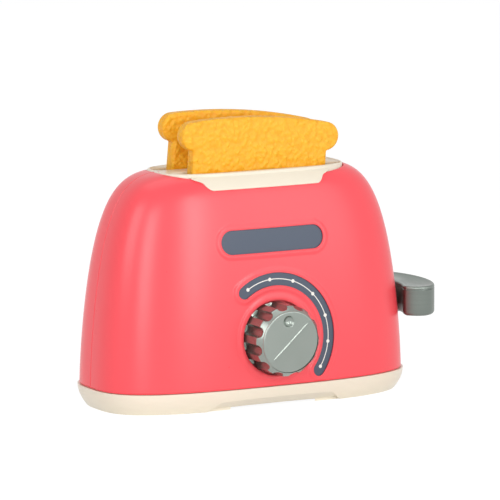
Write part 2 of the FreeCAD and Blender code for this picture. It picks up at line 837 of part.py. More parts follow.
paddle = form("paddle", paddle_solid())
lever_handle = cut(
    "lever_handle", paddle,
    block("arm_socket", "body_half_length", "arm_tip + socket_end_gap",
          "-arm_half_thickness - socket_clearance", "arm_half_thickness + socket_clearance",
          "arm_foot - socket_clearance", "arm_foot + arm_height + socket_clearance"),
    round_bar("lever_screw_hole", "lever_screw_radius + screw_bite_clearance * 2",
              "arm_foot - paddle_foot + 1", "lever_screw_reach", "0", "paddle_foot - 1"))
lever_screw = fuse(
    "lever_screw",
    round_bar("lever_screw_shank", "lever_screw_radius", "arm_foot - paddle_foot + lever_screw_bite",
              "lever_screw_reach", "0", "paddle_foot"),
    round_bar("lever_screw_head", "screw_head_radius", "lever_screw_head", "lever_screw_reach", "0",
              "paddle_foot - lever_screw_head"))


# ---- slices of play bread ----

def slice_outline():
    """Crust line of one slice, upright on z = 0. Its crown runs smoothly into both ends of the head."""
    w, corner = val("slice_half_width"), val("slice_corner")
    cap, shoulder = val("slice_head_height") / 2, val("slice_shoulder")
    end, top = val("slice_head_half_width") - cap, shoulder + 2 * cap
    neck = math.asin((w - end) / cap)
    rise = val("slice_crown")
    crown_end = math.pi - math.asin(2 * rise * end / (end * end + rise * rise))
    inset = corner * (1 - math.sqrt(0.5))

    def v(x, z):
        return FreeCAD.Vector(x, 0, z)

    def head(side, angle):
        return v(side * (end + cap * math.sin(angle)), shoulder + cap - cap * math.cos(angle))

    edges = [Part.makeLine(v(corner - w, 0), v(w - corner, 0)),
             Part.Arc(head(1, crown_end), v(0, top + rise), head(-1, crown_end)).toShape()]
    for side in (1, -1):
        join = head(side, neck)
        low = Part.Arc(v(side * (w - corner), 0), v(side * (w - inset), inset), v(side * w, corner))
        edges.append(low.toShape())
        edges.append(Part.makeLine(v(side * w, corner), join))
        edges.append(Part.Arc(join, head(side, (neck + crown_end) / 2), head(side, crown_end)).toShape())
    return Part.Wire(Part.__sortEdges__(edges))


def bread_slice(y, tilt):
    """One slice, leaning in its slot by the tilt in degrees, with its low corner on the platform."""
    half = val("slice_thickness") / 2
    solid = Part.Face(slice_outline()).extrude(FreeCAD.Vector(0, 2 * half, 0))
    rims = [e for e in solid.Edges if e.BoundBox.YLength < 1e-6]
    solid = solid.makeFillet(val("slice_edge_round"), rims)
    solid.translate(FreeCAD.Vector(0, y - half, 0))
    lean, corner = math.radians(tilt), val("slice_corner")
    centre = val("slice_shoulder") + val("slice_head_height") / 2
    sunk = corner * (1 - math.cos(lean)) + (val("slice_half_width") - corner) * math.sin(lean)
    solid.rotate(FreeCAD.Vector(), FreeCAD.Vector(0, 1, 0), tilt)
    solid.translate(FreeCAD.Vector(val("slice_head_shift") - centre * math.sin(lean), 0,
                                   val("platform_top") + val("slice_rest_gap") + sunk))
    return solid


toast_front = form("toast_front", bread_slice(-val("slice_spacing") / 2, val("front_slice_lean")))
toast_rear = form("toast_rear", bread_slice(val("slice_spacing") / 2, val("rear_slice_lean")))


# ---- dial ----

FLUTES = 12


def revolved(profile, height):
    """Turns a closed profile of (radius, depth) points round the dial's axis; depth runs to the front."""
    points = [FreeCAD.Vector(radius, -depth, height) for radius, depth in profile]
    face = Part.Face(Part.makePolygon(points + points[:1]))
    return face.revolve(FreeCAD.Vector(0, 0, height), FreeCAD.Vector(0, 1, 0), 360)


def dial_shape():
    """A fluted knob with a smooth disc face, a finger dimple and two faint facets."""
    height = val("dial_height")
    rear, face = val("dial_rear_depth"), val("dial_face_depth")
    shoulder = face - val("dial_face_thickness")
    r0, r1, r2 = val("dial_radius"), val("dial_neck_radius"), val("dial_face_radius")
    edge = val("dial_edge_round")
    knob = revolved([(0, rear), (r0, rear), (r1, shoulder), (r2, shoulder + val("dial_face_step")),
                     (r2, face - edge), (r2 - edge * 0.3, face - edge * 0.3), (r2 - edge, face),
                     (0, face)], height)
    for i in range(FLUTES):
        radius = val("flute_radius")
        away = r0 + val("flute_offset")
        length = shoulder - rear - radius * 0.6
        groove = Part.makeCylinder(radius, length + 1, FreeCAD.Vector(0, 1 - rear, 0),
                                   FreeCAD.Vector(0, -1, 0))
        nose = Part.makeSphere(radius, FreeCAD.Vector(0, -rear - length, 0))
        tool = groove.fuse(nose)
        tool.rotate(FreeCAD.Vector(0, -rear, 0), FreeCAD.Vector(1, 0, 0), val("flute_lean"))
        tool.translate(FreeCAD.Vector(0, 0, height + away))
        tool.rotate(FreeCAD.Vector(0, 0, height), FreeCAD.Vector(0, 1, 0),
                    360.0 * i / FLUTES + val("flute_bearing"))
        knob = knob.cut(tool)
    r, sink = val("dimple_radius"), val("dimple_sink")
    ball = (r * r + sink * sink) / (2 * sink)
    dimple = Part.makeSphere(ball, FreeCAD.Vector(0, -face - ball + sink, height + val("dimple_offset")))
    dimple.rotate(FreeCAD.Vector(0, 0, height), FreeCAD.Vector(0, 1, 0), val("dimple_bearing"))
    knob = knob.cut(dimple)
    slab = Part.makeBox(80, 10, 40, FreeCAD.Vector(-40, -10, -40))
    slab.rotate(FreeCAD.Vector(), FreeCAD.Vector(1, 0, 0), val("face_facet_angle"))
    slab.rotate(FreeCAD.Vector(), FreeCAD.Vector(0, 1, 0), -val("face_facet_bearing"))
    slab.translate(FreeCAD.Vector(0, -face, height))
    knob = knob.cut(slab)
    bore = Part.makeCylinder(val("arbor_radius") + val("seat_clearance"),
                             val("arbor_into_dial") + val("arbor_flat_overrun"),
                             FreeCAD.Vector(0, 1 - rear, height), FreeCAD.Vector(0, -1, 0))
    flat = Part.makeBox(10, 40, 10, FreeCAD.Vector(
        -5, -rear - 30, height + val("arbor_flat") + val("seat_clearance")))
    return knob.cut(bore.cut(flat))


timer_knob = form("timer_knob", dial_shape())

# ---- timer plates, pillars and screws ----

front_plate_depth = "-timer_front"
rear_plate_depth = "-timer_front + timer_plate_thickness + timer_gap"


def plate_centre(teeth_a, teeth_b):
    return val("gear_module") * (val(teeth_a) + val(teeth_b)) / 2 + val("mesh_clearance")


def stepped(start, distance, bearing):
    turn = math.radians(bearing)
    return (start[0] + distance * math.cos(turn), start[1] + distance * math.sin(turn))


dial_axis = (0.0, val("dial_height"))
second_axis = stepped(dial_axis, plate_centre("main_teeth", "second_pinion_teeth"), val("second_bearing"))
fan_axis = stepped(second_axis, plate_centre("second_teeth", "fan_pinion_teeth"), val("fan_bearing"))


def plate_blank(name, depth):
    blank = block(name + "_blank", "-timer_left", "timer_right", depth, depth + " + timer_plate_thickness",
                  "timer_low", "timer_high")
    return rounded(name + "_corners", blank, "timer_corner",
                   lambda e: abs(e.BoundBox.YLength - val("timer_plate_thickness")) < 1e-6)


PILLARS = [("-timer_left + pillar_inset", "timer_low + pillar_inset"),
           ("timer_right - pillar_inset", "timer_low + pillar_inset"),
           ("-timer_left + pillar_inset", "timer_high - pillar_inset"),
           ("timer_right - pillar_inset", "timer_high - pillar_inset")]


def pivot_bar(name, radius, axis, start, length):
    """A bar along Y on one of the train's axes."""
    obj = doc.addObject("Part::Cylinder", name)
    obj.setExpression("Radius", bound(radius))
    obj.setExpression("Height", bound(length))
    obj.Placement = FreeCAD.Placement(FreeCAD.Vector(axis[0], 0, axis[1]), ALONG_Y)
    obj.setExpression("Placement.Base.y", bound(start))
    return obj


def timer_plate(name, depth, dial_hole):
    holes = [pivot_bar(name + "_dial_hole", dial_hole, dial_axis, depth + " - 1",
                       "timer_plate_thickness + 2")]
    for other, axis in (("second", second_axis), ("fan", fan_axis)):
        holes.append(pivot_bar("%s_%s_hole" % (name, other), "pivot_radius + running_clearance", axis,
                               depth + " - 1", "timer_plate_thickness + 2"))
    for i, (x, z) in enumerate(PILLARS):
        holes.append(round_bar("%s_pillar_hole_%d" % (name, i), "pillar_screw_radius + seat_clearance",
                               "timer_plate_thickness + 2", x, depth + " - 1", z, ALONG_Y))
    if depth == front_plate_depth:
        for side in ("", "-"):
            holes.append(round_bar(name + "_mount_hole" + side, "screw_radius + seat_clearance",
                                   "timer_plate_thickness + 2", side + "timer_screw_reach", depth + " - 1",
                                   "dial_height", ALONG_Y))
    return cut(name, plate_blank(name, depth), *holes)


timer_front_plate = timer_plate("timer_front_plate", front_plate_depth, "arbor_radius + running_clearance")
timer_rear_plate = timer_plate("timer_rear_plate", rear_plate_depth, "arbor_tip_radius + running_clearance")

pillar_parts, pillar_screw_parts = [], []
for i, (x, z) in enumerate(PILLARS):
    bar = round_bar("pillar_bar_%d" % i, "pillar_radius", "timer_gap", x,
                    "timer_plate_thickness - timer_front", z, ALONG_Y)
    bore = round_bar("pillar_bore_%d" % i, "pillar_screw_radius + seat_clearance", "timer_gap + 2", x,
                     "-timer_front", z, ALONG_Y)
    pillar_parts.append(cut("pillar_%d" % i, bar, bore))
    shank = round_bar("pillar_shank_%d" % i, "pillar_screw_radius",
                      "timer_gap + timer_plate_thickness * 1.8", x,
                      "-timer_front + 0.2 * timer_plate_thickness", z, ALONG_Y)
    head = round_bar("pillar_head_%d" % i, "pillar_head_radius", "pillar_head_height", x,
                     rear_plate_depth + " + timer_plate_thickness", z, ALONG_Y)
    pillar_screw_parts.append(fuse("pillar_screw_%d" % i, shank, head))
timer_pillars = doc.addObject("Part::Compound", "timer_pillars")
timer_pillars.Links = pillar_parts
pillar_screws = doc.addObject("Part::Compound", "pillar_screws")
pillar_screws.Links = pillar_screw_parts

timer_screw_parts = []
for side in ("", "-"):
    head = round_bar("timer_screw_head" + side, "screw_head_radius", "timer_screw_head",
                     side + "timer_screw_reach", "-timer_front - cup_floor_thickness - timer_screw_head",
                     "dial_height", ALONG_Y)
    shank = round_bar("timer_screw_shank" + side, "screw_radius",
                      "cup_floor_thickness + timer_plate_thickness * 0.8", side + "timer_screw_reach",
                      "-timer_front - cup_floor_thickness", "dial_height", ALONG_Y)
    timer_screw_parts.append(fuse("timer_screw" + side, head, shank))
timer_screws = doc.addObject("Part::Compound", "timer_screws")
timer_screws.Links = timer_screw_parts


# ---- wheels ----

PRESSURE = math.radians(20)


def gear(teeth, axis, bearing, depth, thickness, bore):
    """An involute spur gear in the X-Z plane, with the middle of one tooth at the bearing."""
    module = val("gear_module")
    pitch = module * teeth / 2
    base = pitch * math.cos(PRESSURE)
    tip = pitch + val("gear_addendum") * module
    root = pitch - 1.15 * module
    half = math.pi / (2 * teeth) - val("gear_backlash") / (2 * pitch)
    spread = math.tan(PRESSURE) - PRESSURE

    def flank(radius):
        angle = math.acos(min(base / radius, 1.0))
        return half + spread - (math.tan(angle) - angle)

    def point(radius, turn):
        return FreeCAD.Vector(axis[0] + radius * math.cos(turn), -depth, axis[1] + radius * math.sin(turn))

    start = max(base, root + 0.05)
    middle = (start + tip) / 2
    edges, last = [], None
    first = None
    for i in range(teeth):
        turn = math.radians(bearing) + 2 * math.pi * i / teeth
        low_in, low_out = point(root, turn - flank(start)), point(root, turn + flank(start))
        up = Part.Arc(point(start, turn - flank(start)), point(middle, turn - flank(middle)),
                      point(tip, turn - flank(tip)))
        down = Part.Arc(point(tip, turn + flank(tip)), point(middle, turn + flank(middle)),
                        point(start, turn + flank(start)))
        if last is not None:
            edges.append(Part.makeLine(last, low_in))
        else:
            first = low_in
        edges += [Part.makeLine(low_in, up.StartPoint), up.toShape(),
                  Part.makeLine(up.EndPoint, down.StartPoint), down.toShape(),
                  Part.makeLine(down.EndPoint, low_out)]
        last = low_out
    edges.append(Part.makeLine(last, first))
    solid = Part.Face(Part.Wire(edges)).extrude(FreeCAD.Vector(0, thickness, 0))
    if bore:
        solid = solid.cut(y_cylinder(bore, axis, -depth - 1, thickness + 2))
    return solid


def y_cylinder(radius, axis, start, length):
    along = FreeCAD.Vector(0, 1, 0)
    return Part.makeCylinder(radius, length, FreeCAD.Vector(axis[0], start, axis[1]), along)


def spoked(wheel, axis, depth, reach, radius, count=5):
    """Lightening holes in a wheel's web."""
    for i in range(count):
        x, z = stepped(axis, reach, 360.0 * i / count)
        wheel = wheel.cut(y_cylinder(radius, (x, z), -depth - 1, val("wheel_thickness") + 2))
    return wheel


def main_wheel_shape():
    wheel = gear(int(val("main_teeth")), dial_axis, val("second_bearing"), val("main_wheel_depth"),
                 val("wheel_thickness"), val("arbor_radius") + val("seat_clearance"))
    return spoked(wheel, dial_axis, val("main_wheel_depth"), val("main_hole_reach"),
                  val("main_hole_radius"))


def pinioned_arbor(teeth, axis, gap_bearing, pinion_depth, pinion_length):
    """A pinion cut on its own arbor, with a pivot in each plate."""
    front = -val("timer_front")
    inner_front = front + val("timer_plate_thickness")
    inner_rear = inner_front + val("timer_gap")
    pinion = gear(teeth, axis, gap_bearing + 180.0 / teeth, pinion_depth, pinion_length, 0)
    body = y_cylinder(val("small_arbor_radius"), axis, inner_front + val("arbor_end_play"),
                      val("timer_gap") - 2 * val("arbor_end_play"))
    pivots = y_cylinder(val("pivot_radius"), axis, front + val("arbor_end_play"),
                        inner_rear - front + val("pivot_stand_out"))
    return pinion.fuse(body).fuse(pivots)


second_arbor = form("second_arbor", pinioned_arbor(
    int(val("second_pinion_teeth")), second_axis, val("second_bearing") + 180,
    val("main_wheel_depth") + (val("pinion_length") - val("wheel_thickness")) / 4,
    val("pinion_length") - val("pinion_trim")))
fan_arbor = form("fan_arbor", pinioned_arbor(
    int(val("fan_pinion_teeth")), fan_axis, val("fan_bearing") + 180,
    val("second_wheel_depth") + (val("pinion_length") - val("wheel_thickness")) / 4,
    val("pinion_length") - val("pinion_trim")))
main_wheel = form("main_wheel", main_wheel_shape())


def second_wheel_shape():
    wheel = gear(int(val("second_teeth")), second_axis, val("fan_bearing"), val("second_wheel_depth"),
                 val("wheel_thickness"), val("small_arbor_radius") + val("seat_clearance"))
    return spoked(wheel, second_axis, val("second_wheel_depth"), val("second_hole_reach"),
                  val("second_hole_radius"))


second_wheel = form("second_wheel", second_wheel_shape())


def fan_shape():
    """Two flat blades on a hub, which brake the train in air."""
    start = -val("fan_depth")
    hub = y_cylinder(val("fan_hub_radius"), fan_axis, start, val("fan_length"))
    blades = Part.makeBox(2 * val("fan_radius"), val("fan_length"), val("fan_blade"),
                          FreeCAD.Vector(fan_axis[0] - val("fan_radius"), start,
                                         fan_axis[1] - val("fan_blade") / 2))
    fan = hub.fuse(blades)
    return fan.cut(y_cylinder(val("small_arbor_radius") + val("seat_clearance"), fan_axis, start - 1,
                              val("fan_length") + 2))


governor_fan = form("governor_fan", fan_shape())


def dial_arbor_shape():
    """The dial's arbor: a flat where the dial seats, a full journal in front, a thin one behind."""
    front = -val("dial_rear_depth") - val("arbor_into_dial")
    rear = -val("timer_front") + val("timer_plate_thickness") + val("timer_gap")
    body = y_cylinder(val("arbor_radius"), dial_axis, front, rear - front - val("arbor_end_play"))
    tip = y_cylinder(val("arbor_tip_radius"), dial_axis, front, 
                     rear - front + val("timer_plate_thickness") - val("arbor_end_play"))
    flat = Part.makeBox(10, val("arbor_into_dial") + val("arbor_flat_overrun"), 10,
                       FreeCAD.Vector(-5, front - 1, dial_axis[1] + val("arbor_flat")))
    return body.cut(flat).fuse(tip.common(y_cylinder(20, dial_axis, rear - 1, 10)))


knob_arbor = form("knob_arbor", dial_arbor_shape())


def cam_shape():
    """A disc with one notch, which lets the latch drop."""
    cam = y_cylinder(val("cam_radius"), dial_axis, -val("cam_depth"), val("cam_thickness"))
    notch = stepped(dial_axis, val("cam_radius"), val("cam_notch_bearing"))
    cam = cam.cut(y_cylinder(val("cam_notch_radius"), notch, -val("cam_depth") - 1,
                             val("cam_thickness") + 2))
    return cam.cut(y_cylinder(val("arbor_radius") + val("seat_clearance"), dial_axis,
                              -val("cam_depth") - 1, val("cam_thickness") + 2))


release_cam = form("release_cam", cam_shape())


def mainspring_shape():
    """A flat spiral from the arbor out to the low left pillar."""
    inner, outer, turns = val("spring_inner"), val("spring_outer"), val("spring_turns")
    strip, depth = val("spring_strip"), -val("spring_depth")
    pillar = (-val("timer_left") + val("pillar_inset"), val("timer_low") + val("pillar_inset"))
    aim = math.atan2(pillar[1] - dial_axis[1], pillar[0] - dial_axis[0])
    reach = math.hypot(pillar[0] - dial_axis[0], pillar[1] - dial_axis[1])
    end = aim - math.acos(outer / reach)

    def spiral(extra):
        steps = int(turns * 12)
        points = []
        for i in range(steps + 1):
            share = i / steps
            turn = end - 2 * math.pi * turns * (1 - share)
            radius = inner + (outer - inner) * share + extra
            points.append(FreeCAD.Vector(dial_axis[0] + radius * math.cos(turn), depth,
                                         dial_axis[1] + radius * math.sin(turn)))
        curve = Part.BSplineCurve()
        curve.interpolate(points)
        return curve.toShape(), points[0], points[-1]

    in_curve, in_start, in_end = spiral(0)
    out_curve, out_start, out_end = spiral(strip)
    along = FreeCAD.Vector(pillar[0] - in_end.x, 0, pillar[1] - in_end.z)
    run = along.Length - val("pillar_radius")
    along.normalize()
    in_far, out_far = in_end + along * run, out_end + along * run
    edges = [in_curve, Part.makeLine(in_end, in_far), Part.makeLine(in_far, out_far),
             Part.makeLine(out_far, out_end), out_curve, Part.makeLine(out_start, in_start)]
    wire = Part.Wire(Part.__sortEdges__(edges))
    return Part.Face(wire).extrude(FreeCAD.Vector(0, val("spring_height"), 0))


mainspring = form("mainspring", mainspring_shape())

# ---- latch ----

latch_axis = (-val("latch_reach"), val("latch_pivot_height"))


def latch_shape():
    """A bell crank: a hook that reaches over the carriage's tongue, and a follower beside the cam."""
    depth, thick, width = -val("cam_depth"), val("latch_thickness"), val("latch_arm_width")
    x, z = latch_axis
    foot, nose = val("latch_nose_foot"), val("latch_nose")
    left = x - width / 2
    top = foot + val("latch_nose_height")
    outline = [(left, z), (left, foot), (left - nose, foot), (left, top + 1.0), (left + width, top + 1.0),
               (left + width, z)]
    upright = Part.Face(Part.makePolygon([FreeCAD.Vector(a, depth, b) for a, b in outline + outline[:1]]))
    hook = upright.extrude(FreeCAD.Vector(0, thick, 0))
    far = val("cam_radius") + val("latch_follower_gap")
    drop = val("latch_follower_drop")
    tip = (-math.sqrt(far * far - drop * drop), dial_axis[1] - drop)
    run = math.hypot(tip[0] - x, tip[1] - z)
    bar = Part.makeBox(run - width / 2, thick, width, FreeCAD.Vector(0, depth, -width / 2))
    nose_pad = y_cylinder(width / 2, (run - width / 2, 0), depth, thick)
    follower = bar.fuse(nose_pad)
    follower.rotate(FreeCAD.Vector(), FreeCAD.Vector(0, 1, 0),
                    -math.degrees(math.atan2(tip[1] - z, tip[0] - x)))
    follower.translate(FreeCAD.Vector(x, 0, z))
    hub = y_cylinder(val("latch_hub_radius"), latch_axis, depth, thick + val("latch_hub_length"))
    crank = hook.fuse(follower).fuse(hub)
    pin_hole = y_cylinder(val("latch_pin_radius") + val("running_clearance"), latch_axis, depth - 1, 20)
    return crank.cut(pin_hole)


latch_arm = form("latch_arm", latch_shape())
latch_stack = "latch_thickness + latch_hub_length + latch_spring_gap + latch_coil_length"
latch_pin = fuse(
    "latch_pin",
    round_bar("latch_pin_bar", "latch_pin_radius",
              "body_half_depth - shell_wall - latch_pin_set - cam_depth + " + latch_stack,
              "-latch_reach", "-body_half_depth + shell_wall + latch_pin_set", "latch_pivot_height",
              ALONG_Y),
    round_bar("latch_pin_cap", "latch_pin_radius * 2", "latch_pin_head", "-latch_reach",
              "-cam_depth + " + latch_stack, "latch_pivot_height", ALONG_Y))


def latch_spring_shape():
    """A light coil round the latch pin, between the hub and the pin's head."""
    turns = val("latch_coil_length") / val("latch_coil_pitch")
    spring = coil(val("latch_coil_radius"), val("latch_wire"), 0.0, val("latch_coil_length"), turns)
    spring.rotate(FreeCAD.Vector(), FreeCAD.Vector(1, 0, 0), -90)
    start = -val("cam_depth") + val("latch_thickness") + val("latch_hub_length") + val("latch_spring_gap")
    spring.translate(FreeCAD.Vector(latch_axis[0], start, latch_axis[1]))
    return spring


latch_spring = form("latch_spring", latch_spring_shape())

# ---- check and write ----

SUB_PARTS = [
    front_shell, rear_shell, base_tray, slot_plate, front_label, scale_label, shell_screws, base_screws,
    timer_knob, knob_arbor, main_wheel, release_cam, mainspring, second_arbor, second_wheel, fan_arbor,
    governor_fan, timer_front_plate, timer_rear_plate, timer_pillars, pillar_screws, timer_screws,
    latch_arm, latch_pin, latch_spring, guide_rods, lift_springs, bread_carriage, lever_handle, lever_screw,
    toast_front, toast_rear,
]
doc.recompute()
for obj in doc.Objects:
    bad = [state for state in obj.State if state in ("Invalid", "Error")]
    if bad:
        raise SystemExit("%s is %s" % (obj.Name, bad))
os.makedirs("parts", exist_ok=True)
for obj in SUB_PARTS:
    obj.Label = obj.Name
    shape = obj.Shape
    if shape.isNull() or not shape.isValid() or not shape.Solids:
        raise SystemExit("%s has no valid solid" % obj.Label)
for obj in SUB_PARTS:
    obj.Shape.exportStep("parts/%s.step" % obj.Label)
    print("%-18s %d solids %10.1f mm3" % (obj.Label, len(obj.Shape.Solids), obj.Shape.Volume))
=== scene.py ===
import math

import bmesh
import bpy
from mathutils import Matrix, Vector


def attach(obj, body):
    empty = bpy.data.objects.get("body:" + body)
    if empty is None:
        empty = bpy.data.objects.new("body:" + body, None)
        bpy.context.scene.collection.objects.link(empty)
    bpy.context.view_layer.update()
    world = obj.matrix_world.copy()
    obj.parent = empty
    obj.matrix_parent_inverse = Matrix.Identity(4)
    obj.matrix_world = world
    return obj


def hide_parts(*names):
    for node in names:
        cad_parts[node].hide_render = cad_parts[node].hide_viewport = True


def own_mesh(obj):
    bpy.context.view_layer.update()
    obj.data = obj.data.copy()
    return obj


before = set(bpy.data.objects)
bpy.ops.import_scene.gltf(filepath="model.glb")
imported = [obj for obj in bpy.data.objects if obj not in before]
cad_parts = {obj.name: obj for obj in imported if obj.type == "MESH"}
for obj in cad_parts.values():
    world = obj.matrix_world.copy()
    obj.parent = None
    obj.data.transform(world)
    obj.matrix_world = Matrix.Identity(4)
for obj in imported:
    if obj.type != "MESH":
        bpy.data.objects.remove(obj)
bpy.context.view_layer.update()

# ---- Body halves ----
# Two thin shells of coral ABS, injection moulded with a satin face and screwed together from behind. Their
# form is a loaf: each level section is a superellipse that draws in towards the crown. They meet in a
# hairline joint at both ends.

MM = 0.001
body_half_length = 90.0
body_half_depth = 41.0
body_foot = 11.5
body_crown = 124.5
body_squareness = 3.05
end_draw, end_round = 1.5, 8
face_draw, face_round = 1.2, 6
shell_wall = 2.2
seam_dips = ((0.0, 0.45), (0.0045, 0.22), (0.011, 0.0))
seam_reach = 0.018
foot_edge = ((0.0, -0.45), (0.08, -0.15))
crown_roll = 0.5
crown_edge_rise = 1.2
plate_half_length = 54.6
plate_shift = 2.2
plate_half_depth = 24.5
plate_squareness = 3.2
plate_fit = 0.15
rim_proud = 0.45
rim_foot, rim_crest = 2.9, 1.8
dial_height = 36.8
recess_radius = 19.9
recess_roll = 0.9
recess_drop = 0.5
ring_foot, ring_crest = 23.2, 22.3
label_height = 88.3
label_half_length = 30.4
label_half_height = 6.4
scale_radius = 31.0
scale_half_width = 3.5
scale_start = -36.5
scale_end = 127.5
lever_slot = ((76, -4, 15), (94, 4, 53))


def loaf_size(z, grown=0.0):
    """Half length and half depth of the loaf's level section at height z."""
    share = min(max((z - body_foot) / (body_crown + grown - body_foot), 0.0), 1.0)
    along = (body_half_length + grown) * (1 - share ** end_draw) ** (1 / end_round)
    across = (body_half_depth + grown) * (1 - share ** face_draw) ** (1 / face_round)
    return along, across


def on_superellipse(along, across, squareness, turn):
    """The point of a superellipse in one direction from its middle."""
    c, s = math.cos(turn), math.sin(turn)
    reach = (abs(c) ** squareness + abs(s) ** squareness) ** (-1 / squareness)
    return along * reach * c, across * reach * s


def loaf_point(turn, z, grown=0.0):
    """The loaf's surface in one direction from its middle, at height z."""
    along, across = loaf_size(z, grown)
    x, y = on_superellipse(along, across, body_squareness, turn)
    return Vector((x, y, z))


def loaf_depth(x, z, grown=0.0):
    """How far the loaf's face stands from the middle plane at (x, z)."""
    along, across = loaf_size(z, grown)
    share = min(abs(x) / along, 1.0)
    return across * (1 - share ** body_squareness) ** (1 / body_squareness)


def fade(value, start, end):
    """A soft step from 0 at start to 1 at end."""
    t = min(max((value - start) / (end - start), 0.0), 1.0)
    return t * t * (3 - 2 * t)


def from_pill(x, z):
    """Distance from the pill's edge."""
    past_middle = max(abs(x) - label_half_length + label_half_height, 0.0)
    return math.hypot(past_middle, z - label_height) - label_half_height


def scale_middle(clock, radius=scale_radius):
    """The point of the scale's middle line at a bearing from straight up."""
    turn = math.radians(clock)
    return radius * math.sin(turn), dial_height + radius * math.cos(turn)


def from_band(x, z):
    """Distance from the arc band's edge."""
    clock = math.degrees(math.atan2(x, z - dial_height))
    if scale_start <= clock <= scale_end:
        return abs(math.hypot(x, z - dial_height) - scale_radius) - scale_half_width
    ends = [scale_middle(scale_start), scale_middle(scale_end)]
    return min(math.hypot(x - a, z - b) for a, b in ends) - scale_half_width


def front_relief(x, z):
    """Raised soft rims round both printed insets and the dial, with a rolled edge into the dial's recess."""
    middle = math.hypot(x, z - dial_height)
    rims = [fade(from_pill(x, z), rim_foot, rim_crest),
            fade(from_band(x, z), rim_foot, rim_crest),
            fade(middle, ring_foot, ring_crest)]
    rolled = min(max((recess_radius + recess_roll - middle) / recess_roll, 0.0), 1.0)
    return rim_proud * max(rims) - recess_drop * (1 - math.sqrt(1 - rolled * rolled))


def no_relief(x, z):
    """The rear half's face is plain."""
    return 0.0


def crown_crossing(turn, wider, grown=0.0):
    """Height at which the loaf reaches the edge of the plate's opening."""
    low, high = 90.0, body_crown + grown - 0.01
    for _ in range(26):
        z = (low + high) / 2
        p = loaf_point(turn, z, grown)
        inside = (abs(p.x - plate_shift) / (plate_half_length + plate_fit + wider)) ** plate_squareness
        inside += (abs(p.y) / (plate_half_depth + plate_fit + wider)) ** plate_squareness
        if inside > 1:
            low = z
        else:
            high = z
    return low


def new_piece(name, points, faces):
    """A mesh object from points in millimetres, with outward normals."""
    mesh = bpy.data.meshes.new(name)
    mesh.from_pydata([Vector(p) * MM for p in points], [], faces)
    work = bmesh.new()
    work.from_mesh(mesh)
    bmesh.ops.remove_doubles(work, verts=work.verts, dist=2e-7)
    bmesh.ops.recalc_face_normals(work, faces=work.faces)
    work.to_mesh(mesh)
    work.free()
    piece = bpy.data.objects.new(name, mesh)
    bpy.context.scene.collection.objects.link(piece)
    return piece


def woven(columns, closed_rows, closed_columns, caps=False):
    """Points and faces of a net whose columns have equally many points."""
    rows = len(columns[0])
    points = [p for column in columns for p in column]
    faces = []
    for i in range(len(columns) if closed_columns else len(columns) - 1):
        j = (i + 1) % len(columns)
        for k in range(rows if closed_rows else rows - 1):
            m = (k + 1) % rows
            faces.append((i * rows + k, j * rows + k, j * rows + m, i * rows + m))
    if caps:
        faces.append(tuple(range(rows)))
        faces.append(tuple((len(columns) - 1) * rows + k for k in range(rows))[::-1])
    return points, faces


def smooth(piece, angle=32):
    """Shades the piece smooth, with edges sharper than the angle kept crisp."""
    piece.data.shade_smooth()
    piece.data.set_sharp_from_angle(angle=math.radians(angle))


def cut_away(piece, *cutters):
    """Cuts the cutters out of the piece and deletes them."""
    for cutter in cutters:
        step = piece.modifiers.new("cut", "BOOLEAN")
        step.operation = "DIFFERENCE"
        step.solver = "EXACT"
        step.object = cutter
    seen = piece.evaluated_get(bpy.context.evaluated_depsgraph_get())
    mesh = bpy.data.meshes.new_from_object(seen)
    piece.modifiers.clear()
    piece.data = mesh
    for cutter in cutters:
        bpy.data.objects.remove(cutter)


def spread_turns(start, end, spacing):
    """Angles round the foot line, spaced in millimetres by the given rule."""
    turns, turn = [], start
    while turn < end:
        turns.append(turn)
        here = loaf_point(turn, body_foot)
        speed = (loaf_point(turn + 0.001, body_foot) - here).length / 0.001
        turn += spacing(here.x) / speed
    return turns


def shell_columns(start, spacing, level_step, relief):
    """Closed loops of points: up the outside, over the crown edge and down the inside."""
    even_foot, even_top, crown_rows, inside_rows = body_foot + 0.4, 97.0, 30, 18
    seam = [(start + turn, dip) for turn, dip in seam_dips]
    ends = [(2 * start + math.pi - turn, dip) for turn, dip in seam[::-1]]
    middle = [(turn, 0.0) for turn in spread_turns(start + seam_reach, start + math.pi - seam_reach, spacing)]
    low_rows = int((even_top - body_foot) / level_step)
    columns = []
    for turn, dip in seam + middle + ends:
        loop = [loaf_point(turn, body_foot + rise, drawn - dip) for rise, drawn in foot_edge]
        upper = crown_crossing(turn, crown_roll)
        levels = [even_foot + (even_top - even_foot) * k / low_rows for k in range(low_rows + 1)]
        levels += [even_top + (upper - even_top) * (1 - (1 - k / crown_rows) ** 1.9)
                   for k in range(1, crown_rows + 1)]
        for z in levels:
            p = loaf_point(turn, z)
            loop.append(loaf_point(turn, z, relief(p.x, z) - dip))
        edge_level = min(crown_crossing(turn, 0.0), upper + crown_edge_rise)
        edge = loaf_point(turn, edge_level, -dip)
        soft = edge.lerp(loop[-1], 0.3)
        loop.append(Vector((soft.x, soft.y, soft.z - 0.1)))
        loop.append(Vector((edge.x, edge.y, edge_level - 0.5)))
        inner = crown_crossing(turn, 0.0, -shell_wall)
        loop += [loaf_point(turn, body_foot + (inner - body_foot) * (1 - (k / inside_rows) ** 2), -shell_wall)
                 for k in range(inside_rows + 1)]
        columns.append(loop)
    return columns


def strip(path, count, across=4):
    """Points across a band: path gives the middle, the direction across and the half width."""
    grid = []
    for i in range(count + 1):
        (x, z), (dx, dz), half = path(i / count)
        grid.append([(x + dx * half * w, z + dz * half * w) for w in
                     [2 * k / across - 1 for k in range(across + 1)]])
    return grid


